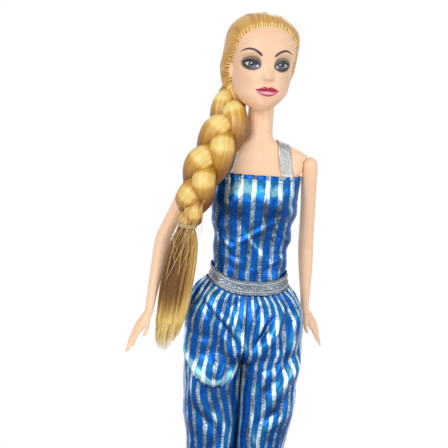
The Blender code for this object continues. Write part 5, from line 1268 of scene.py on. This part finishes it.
def make_trouser_half(name, side, doll):
    """Half of the trousers: gathered at the belt, open to the centre seam, closed round the leg below."""
    top, low = TROUSERS[0][0], CUFF_Z - 0.6
    cloth = {}

    def place(across, along):
        height = mean(low, top, along)
        outer, front, back = along_rows(TROUSERS, height)[:, 1:].T
        fall = np.clip((CROTCH_Z - height) / (CROTCH_Z - CUFF_Z), 0, 1)
        turn = across if side > 0 else 1 - across
        inner = 0.16 + (FOOT_APART - CUFF_HALF - 0.16) * ease(0.4, 1, fall)
        leg_angle = -math.pi + math.tau * turn
        half, middle = (outer - inner) / 2, (outer + inner) / 2
        leg_x, leg_y = oval(leg_angle, half, front, back, mean(3.2, 2.1, fall))
        seat_angle = -math.pi / 2 + math.pi * turn
        seat_x, seat_y = oval(seat_angle, outer, front, back, 2.3)
        blend = ease(CROTCH_Z + 5, CROTCH_Z - 7, height)
        x = mean(np.maximum(seat_x, 0.12), leg_x + middle, blend)
        y = mean(seat_y, leg_y, blend)
        angle = mean(seat_angle, leg_angle, blend)
        depth = np.where(y < 0, front, back)
        around = np.arctan2(np.sign(y) * np.abs(y / depth) ** 1.15, np.abs(x / outer) ** 1.15)
        body = xyz(side * x, y, height)
        waves = cloth_noise(body * (1, 1, 0.8), 13, 9 + side) * 3.0 * ease(0.5, 3, x)
        edge = np.minimum(turn, 1 - turn)
        free = ease(0, 0.05, edge) * ease(top - 0.5, top - 4, height) * ease(low, low + 7, height)
        down = top - height
        gather = 0.8 * bell(down, 13) * np.sin(angle * 10 + side + 1.5 * np.sin(angle * 3))
        long_fold = np.sin(5 * angle + 1.3 * np.sin(height / 19 + side) + height / 15)
        bands = np.sin(2 * angle + height / 7.5 + side * 0.8)
        cuff_gather = 0.6 * np.sin(angle * 10) * bell(height - CUFF_Z, 10)
        swell = doll.fold_depth / MM * (gather + 0.3 * long_fold + 0.22 * bands + cuff_gather)
        fronts = ease(0.15, -0.35, np.sin(angle))
        backs = ease(-0.15, 0.35, np.sin(angle))
        front_rise, front_shine, slip = creased(side * x, height, 0, 1)
        back_rise, back_shine, _ = creased(-side * x, height, 4, 0.2)
        cloth["width"] = side * cloth_width(around, TROUSER_CLOTH) + (waves + slip * fronts) * MM
        swell = swell + front_rise * fronts + 0.8 * back_rise * backs
        # painted highlights of the rims and creases, front and back, added to the gleam
        cloth["shine"] = front_shine * fronts + back_shine * backs
        swell = swell + cloth_noise(body * (1, 1, 0.6), 8, 3 + side) * 0.7
        swell = swell + cloth_noise(body, 3.2, 5) * 0.25
        inside = ease(-0.05, -0.35, np.cos(angle)) * blend
        swell = swell * free * (1 - inside)
        sag = waist_drop(np.arctan2(np.sin(angle), side * np.cos(angle))) * ease(top - 28, top, height)
        x = np.maximum(x + swell * np.cos(angle), 0.1)
        return xyz(side * x, y + swell * np.sin(angle), height - sag)

    piece = laid_grid(name, 150, 330, place)
    write_cloth(piece, **cloth)
    mend(outwards=False)
    return thicken(piece, CLOTH)


def waist_drop(turn):
    """How far the belt hangs at the front, and how it rises at the doll's right side."""
    return 4.0 * np.maximum(0, -np.sin(turn)) ** 1.2 - 1.9 * ease(0.1, 1, -np.cos(turn))


def make_belt():
    """Ribbon belt with two corded lines and small loops along its edges."""

    def place(across, along):
        height = BELT_Z + BELT_HEIGHT * (along - 0.5)
        loops = np.sin(math.tau * across * 90)
        cord = 0.32 * sum(bell(along - line, 0.045) for line in BELT_CORDS)
        edge = 0.25 * bell(np.minimum(along, 1 - along), 0.06) * (0.6 + 0.4 * loops)
        buckle = 0.22 * np.sin(math.tau * across * 5 + along * 2.5) * np.sin(math.pi * along) + 0.22
        height = height + 0.16 * loops * (2 * along - 1) ** 9
        return body_surface(height - waist_drop(math.tau * across), across, BELT_GAP + cord + edge + buckle)

    return thicken(laid_grid("ribbon_belt", 540, 28, place, True), CLOTH)


def torso_tree():
    points, faces = [], []
    shells = [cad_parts[name] for name in ("torso_front", "torso_back")]
    for piece in (*shells, bpy.data.objects["chest_skin"]):
        mesh = piece.data
        start = len(points)
        points += [vertex.co.copy() for vertex in mesh.vertices]
        faces += [[start + index for index in face.vertices] for face in mesh.polygons]
    return BVHTree.FromPolygons(points, faces)


def make_strap(name, side):
    """Glitter ribbon over the shoulder, from the front of the neckline to the back."""
    tree = torso_tree()
    reach = 40 * MM

    def place(across, along):
        points = []
        for share, part in zip(along, across):
            fore, aft = min(2 * share, 1), max(2 * share - 1, 0)
            middle = 14.2 - 3.8 * fore + 1.2 * aft
            part = part - 0.5 if side > 0 else 0.5 - part
            way = Vector((0, -math.cos(math.pi * share), math.sin(math.pi * share)))
            start = in_scene((side * (middle + STRAP_WIDTH * part), 0, SHOULDER_Z - 6.4))
            spot, normal, _, _ = tree.ray_cast(start + way * reach, -way)
            if spot is None:
                spot, normal = start + way * 7 * MM, way
            lift = STRAP_LIFT + 0.12 * math.cos(part * 18) * (1 if abs(part) > 0.3 else 0.4)
            hit = spot + way * lift * MM / max(way.dot(normal), 0.45)
            points.append(((hit - ROOT) / MM)[:])
        return np.array(points)

    piece = laid_grid(name, 18, 72, place)
    soften(piece, 6)
    return thicken(piece, TAPE)


def make_cuff(name, side, pitch):
    """Narrow gathered hem band round the ankle."""

    def place(across, along):
        angle = math.tau * (across if side > 0 else 1 - across)
        grow = 0.25 + 0.16 * np.sin(angle * 14) + 0.2 * np.sin(math.pi * along)
        x, y = oval(angle, CUFF_HALF + grow, CUFF_DEPTH + grow, CUFF_DEPTH + grow, 2)
        return xyz(side * (FOOT_APART + x), y, CUFF_Z - 0.3 - CUFF_HEIGHT * (1 - along))

    piece = laid_grid(name, 160, 16, place, True)
    points = read_points(piece.data) - np.array(ROOT)
    angle = np.arctan2(points[:, 1], points[:, 0] - side * FOOT_APART * MM)
    write_cloth(piece, angle / math.tau * 10 * pitch)
    return thicken(piece, CLOTH)


def make_closure(name, over):
    """One tape of the back closure."""

    def place(across, along):
        height = mean(BELT_Z + 3.4, NECKLINE_Z, along)
        return xyz((0.5 - across) * TAPE_WIDTH, along_rows(BODY, height)[:, 3] + over, height)

    return thicken(laid_grid(name, 14, 90, place), TAPE)


# Settings

COLOUR = {"size": 4, "min": 0, "max": 1, "subtype": "COLOR"}


class DollSettings(bpy.types.PropertyGroup):
    braid_width: FloatProperty(
        name="Braid width", description="Widest part of the side braid",
        default=0.0175, min=0.01, max=0.02, unit="LENGTH",
    )
    hair_tufts: IntProperty(
        name="Rooted tufts", description="Tufts round the whole hairline",
        default=104, min=40, max=160,
    )
    stray_hairs: IntProperty(
        name="Stray hairs", description="Thin hairs off the lower braid",
        default=18, min=1, max=60,
    )
    hair_strands: IntProperty(
        name="Swept strands", description="Loose strands over the swept hair",
        default=230, min=0, max=600,
    )
    tail_strands: IntProperty(
        name="Tail strands", description="Strands below the elastic",
        default=300, min=20, max=400,
    )
    stripe_pitch: FloatProperty(
        name="Stripe pitch", description="Width of one blue and one silver stripe",
        default=0.0054, min=0.002, max=0.02, unit="LENGTH",
    )
    blue_share: FloatProperty(
        name="Blue share", description="Share of the pitch that is blue",
        default=0.68, min=0.1, max=0.9, subtype="FACTOR",
    )
    fold_depth: FloatProperty(
        name="Fold depth", description="Height of the folds of the trousers",
        default=0.0012, min=0, max=0.003, unit="LENGTH",
    )
    skin: FloatVectorProperty(
        name="Skin", description="Vinyl of face, neck, arms and legs", default=colour(255, 211, 174), **COLOUR
    )
    hair_dark: FloatVectorProperty(
        name="Hair, dark", description="Darkest streaks", default=colour(142, 92, 36), **COLOUR
    )
    hair_middle: FloatVectorProperty(
        name="Hair, middle", description="Common colour of the hair", default=colour(190, 136, 54), **COLOUR
    )
    hair_light: FloatVectorProperty(
        name="Hair, light", description="Light streaks", default=colour(224, 174, 80), **COLOUR
    )
    hair_bright: FloatVectorProperty(
        name="Hair, bright", description="Brightest streaks", default=colour(252, 226, 150), **COLOUR
    )
    foil_blue: FloatVectorProperty(
        name="Blue foil", description="Blue stripes of the suit", default=colour(0, 82, 166), **COLOUR
    )
    foil_silver: FloatVectorProperty(
        name="Silver foil", description="Silver stripes of the suit", default=colour(142, 166, 180), **COLOUR
    )
    belt: FloatVectorProperty(
        name="Belt", description="Ribbon of the belt", default=colour(76, 92, 108), **COLOUR
    )
    strap: FloatVectorProperty(
        name="Straps", description="Shoulder ribbons", default=colour(176, 172, 164), **COLOUR
    )
    shoe: FloatVectorProperty(
        name="Shoe", description="Wedge shoes", default=colour(196, 202, 208), **COLOUR
    )


def doll_settings():
    return bpy.context.scene.doll_settings


def hair_colours(doll):
    return (doll.hair_dark, doll.hair_middle, doll.hair_light, doll.hair_bright)


def foil(doll):
    settings = doll.foil_blue, doll.foil_silver, doll.stripe_pitch, doll.blue_share
    return shared(foil_cloth, "foil_stripes", *settings)


def repaint(nodes, material):
    for node in nodes:
        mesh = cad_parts[node].data
        mesh.materials.clear()
        mesh.materials.append(material)


# Operators

# Name, place, size and power of each lamp
LAMPS = (
    ("key", (-0.45, -1.0, 0.6), 0.7, 6.1),
    ("fill", (0.85, -0.75, 0.3), 0.6, 3.0),
    ("rim", (0.3, 0.9, 0.7), 0.5, 1.0),
)
LAMP_AIM = Vector((0, 0, 0.2))
CAMERA_EYE, CAMERA_AIM = ROOT + Vector((-0.0284, -0.5990, 0.2840)), ROOT + Vector((-0.0124, 0.0005, 0.1984))
CAMERA_TILT, SENSOR, LENS = math.radians(4.4), 36, 110
BRAID_COLOURS = (colour(140, 86, 18), colour(186, 132, 42), colour(222, 172, 70), colour(255, 230, 148))
TAIL_COLOURS = (colour(84, 46, 14), colour(128, 82, 32), colour(190, 140, 62), colour(246, 216, 134))
# Corded lines of the ribbons, at shares of their width
BELT_CORDS, STRAP_CORDS = (0.22, 0.78), (0.1, 0.9)


class DOLL_OT_stage(bpy.types.Operator):
    """Floor, soft studio light, pale background and the camera"""

    bl_idname = "doll.stage"
    bl_label = "Stage"

    def execute(self, context):
        select()
        below = (0, 0, -0.1 * MM)
        bpy.ops.mesh.primitive_circle_add(
            vertices=96, radius=FLOOR_RADIUS * MM, fill_type="NGON", location=below
        )
        floor = context.object
        floor.name = "floor"
        pale = Finish("pale_floor", 0.7)
        tint = pale.mix(pale.noise(pale.place(), 18, 3), (0.86, 0.86, 0.87, 1), (0.9, 0.9, 0.9, 1))
        floor.data.materials.append(pale.set(Base_Color=tint))
        for name, place, size, power in LAMPS:
            lamp = bpy.data.lights.new(name, "AREA")
            lamp.size, lamp.energy = size, power
            lamp_object = add_object(name, lamp)
            lamp_object.location = place
            lamp_object.rotation_euler = (LAMP_AIM - Vector(place)).to_track_quat("-Z", "Y").to_euler()
        world = bpy.data.worlds.new("soft_room")
        context.scene.world = world
        world.use_nodes = True
        room = Nodes(world.node_tree)
        room.tree.nodes.clear()
        rays = room.add("LightPath").outputs
        shiny = room.math("MAXIMUM", rays["Is Glossy Ray"], rays["Is Transmission Ray"])
        seen = room.math("MAXIMUM", rays["Is Camera Ray"], shiny)
        white = room.add("Background", Color=(1, 1, 1, 1), Strength=1.0)
        grey = room.add("Background", Color=(0.95, 0.97, 1, 1), Strength=0.55)
        mix = room.add("MixShader", i0=seen, i1=grey.outputs[0], i2=white.outputs[0])
        room.add("OutputWorld", Surface=mix.outputs[0])
        camera = bpy.data.cameras.new("photo_view")
        camera.sensor_width, camera.lens = SENSOR, LENS
        camera.clip_start, camera.clip_end = 0.01, 20
        camera_object = add_object("photo_view", camera)
        look = (CAMERA_AIM - CAMERA_EYE).to_track_quat("-Z", "Y").to_matrix().to_4x4()
        tilt = Matrix.Rotation(CAMERA_TILT, 4, "Z")
        camera_object.matrix_world = Matrix.Translation(CAMERA_EYE) @ look @ tilt
        context.scene.camera = camera_object
        context.scene.view_settings.view_transform = "Standard"
        return {"FINISHED"}


class DOLL_OT_body(bpy.types.Operator):
    """Skin, inner plastic and shoes of the CAD pieces that stay, and the smooth skin of neck and chest"""

    bl_idname = "doll.body"
    bl_label = "Body"

    def execute(self, context):
        doll = doll_settings()
        skin = soft_vinyl("skin_vinyl", doll.skin)
        repaint(("torso_front", "torso_back", "left_leg", "right_leg"), skin)
        wear(make_chest(), "torso", "skin", skin)
        inner = hard_plastic("inner_plastic", colour(228, 206, 186))
        repaint(("neck_knob", "hip_spindle", "left_shoulder_peg", "right_shoulder_peg"), inner)
        repaint(("left_shoe", "right_shoe"), hard_plastic("shoe_plastic", doll.shoe, 0.22, 0.25, 1500.0))
        return {"FINISHED"}


class DOLL_OT_head(bpy.types.Operator):
    """Head with its painted face and ears"""

    bl_idname = "doll.head"
    bl_label = "Head and face"

    def execute(self, context):
        doll = doll_settings()
        wear(make_head(doll), "head", "skin", soft_vinyl("painted_vinyl", doll.skin, True), "head")
        for name, side in SIDES:
            wear(make_ear(name, side), "head", "skin", shared(soft_vinyl, "skin_vinyl", doll.skin))
        return {"FINISHED"}


class DOLL_OT_hair(bpy.types.Operator):
    """Rooted hair swept back to the braid"""

    bl_idname = "doll.hair"
    bl_label = "Swept hair"

    def execute(self, context):
        doll = doll_settings()
        scalp = surface_tree(head_surface, 0.2, HEAD_HEIGHT - 0.1)
        shell = surface_tree(hair_surface, HAIR_TOP * 0.12, HAIR_TOP)
        swept = hair_fibre("swept_hair", hair_colours(doll), 4.0, 0.0, 0.6)
        wear(make_swept_hair(doll, scalp, shell), "head", "hair", swept, "hair_cap")
        fine = hair_fibre("strand_hair", hair_colours(doll))
        wear(make_swept_strands(doll, scalp, shell), "head", "hair", fine)
        return {"FINISHED"}


class DOLL_OT_braid(bpy.types.Operator):
    """Three locks of the side braid, the elastic and the tail"""

    bl_idname = "doll.braid"
    bl_label = "Side braid"

    def execute(self, context):
        doll = doll_settings()
        blend = ("head", "torso", in_scene(BRAID_ROUTE[0]), in_scene(BRAID_ROUTE[4]))
        braided = hair_fibre("braided_hair", BRAID_COLOURS, 2.2)
        for number in range(3):
            wear(make_lock(number, doll), blend, "hair", braided, f"braid_lock_{number + 1}")
        core = hair_fibre("tail_hair", TAIL_COLOURS, 1.2, -0.08, 0.8, 0.35)
        wear(make_tail_core(), "torso", "hair", core, "hair_tail")
        fine = hair_fibre("tail_strand_hair", TAIL_COLOURS, tips=0.75)
        wear(make_tail_strands(doll), "torso", "hair", fine)
        wear(make_wisps(doll), "torso", "hair", shared(hair_fibre, "strand_hair", hair_colours(doll)))
        clear = Finish("clear_elastic", 0.18, 0, Transmission_Weight=0.35, IOR=1.45)
        cloud = clear.noise(clear.place(), 900, 2)
        clear.set(Base_Color=clear.mix(cloud, colour(206, 176, 128), colour(240, 224, 190)))
        wear(make_elastic(), "torso", "elastic", clear.material, "braid_elastic")
        return {"FINISHED"}


class DOLL_OT_arms(bpy.types.Operator):
    """Arms with slim hands"""

    bl_idname = "doll.arms"
    bl_label = "Arms"

    def execute(self, context):
        doll = doll_settings()
        for name in ARMS:
            skin = shared(soft_vinyl, "skin_vinyl", doll.skin)
            wear(make_arm(name), f"{name}_arm", "skin", skin, f"{name}_arm")
        return {"FINISHED"}


class DOLL_OT_bodice(bpy.types.Operator):
    """Bodice panels, back closure and shoulder ribbons"""

    bl_idname = "doll.bodice"
    bl_label = "Bodice"

    def execute(self, context):
        doll = doll_settings()
        panels = (
            ("bodice_front_cloth", 0.502, 0.998, "bodice_front", 230),
            ("bodice_back_left_cloth", 0.0, 0.226, "bodice_back_left", 110),
            ("bodice_back_right_cloth", 0.274, 0.5, "bodice_back_right", 110),
        )
        for name, first, last, node, columns in panels:
            wear(panel(name, first, last, columns), "torso", "foil_cloth", foil(doll), node)
        tapes = (
            ("loop_tape", "closure_loop_strip", 0.4, 3000.0),
            ("hook_tape", "closure_hook_strip", 1.0, 1400.0),
        )
        for name, node, over, scale in tapes:
            pile = hook_pile(name, colour(214, 220, 226), scale)
            wear(make_closure(name, over), "torso", "hook_and_loop", pile, node)
        ribbon = glitter_ribbon("strap_ribbon", doll.strap, STRAP_CORDS)
        for name, side in SIDES:
            strap = make_strap(f"{name}_strap_ribbon", side)
            wear(strap, "torso", "silver_ribbon", ribbon, f"{name}_strap")
        return {"FINISHED"}


class DOLL_OT_trousers(bpy.types.Operator):
    """Belt, gathered trousers and cuffs"""

    bl_idname = "doll.trousers"
    bl_label = "Belt and trousers"

    def execute(self, context):
        doll = doll_settings()
        belt = glitter_ribbon("belt_ribbon", doll.belt, BELT_CORDS)
        wear(make_belt(), "torso", "silver_ribbon", belt, "belt")
        for name, side in SIDES:
            piece = make_trouser_half(f"{name}_trousers", side, doll)
            start, end = in_scene((side * 12, 0, HIP_Z + 10)), in_scene((side * 12, 0, HIP_Z - 16))
            nodes = (f"{name}_trouser_seat", f"{name}_trouser_leg")
            wear(piece, ("torso", f"{name}_leg", start, end), "foil_cloth", foil(doll), *nodes)
            cuff = make_cuff(f"{name}_cuff_band", side, doll.stripe_pitch)
            wear(cuff, f"{name}_leg", "foil_cloth", foil(doll), f"{name}_cuff")
        return {"FINISHED"}


class DOLL_PT_panel(bpy.types.Panel):
    """Settings and steps of the dressed doll"""

    bl_idname = "DOLL_PT_panel"
    bl_label = "Dressed fashion doll"
    bl_space_type = "VIEW_3D"
    bl_region_type = "UI"
    bl_category = "Doll"

    def draw(self, context):
        for name in DollSettings.__annotations__:
            self.layout.prop(context.scene.doll_settings, name)
        for step in STEPS:
            self.layout.operator(step.bl_idname)


STEPS = (
    DOLL_OT_stage, DOLL_OT_body, DOLL_OT_head, DOLL_OT_hair,
    DOLL_OT_braid, DOLL_OT_arms, DOLL_OT_bodice, DOLL_OT_trousers,
)
CLASSES = (DollSettings, *STEPS, DOLL_PT_panel)


def register():
    for item in CLASSES:
        bpy.utils.register_class(item)
    bpy.types.Scene.doll_settings = PointerProperty(type=DollSettings)


def unregister():
    del bpy.types.Scene.doll_settings
    for item in reversed(CLASSES):
        bpy.utils.unregister_class(item)


def main():
    register()
    for step in STEPS:
        group, name = step.bl_idname.split(".")
        getattr(getattr(bpy.ops, group), name)()


if __name__ == "__main__":
    main()
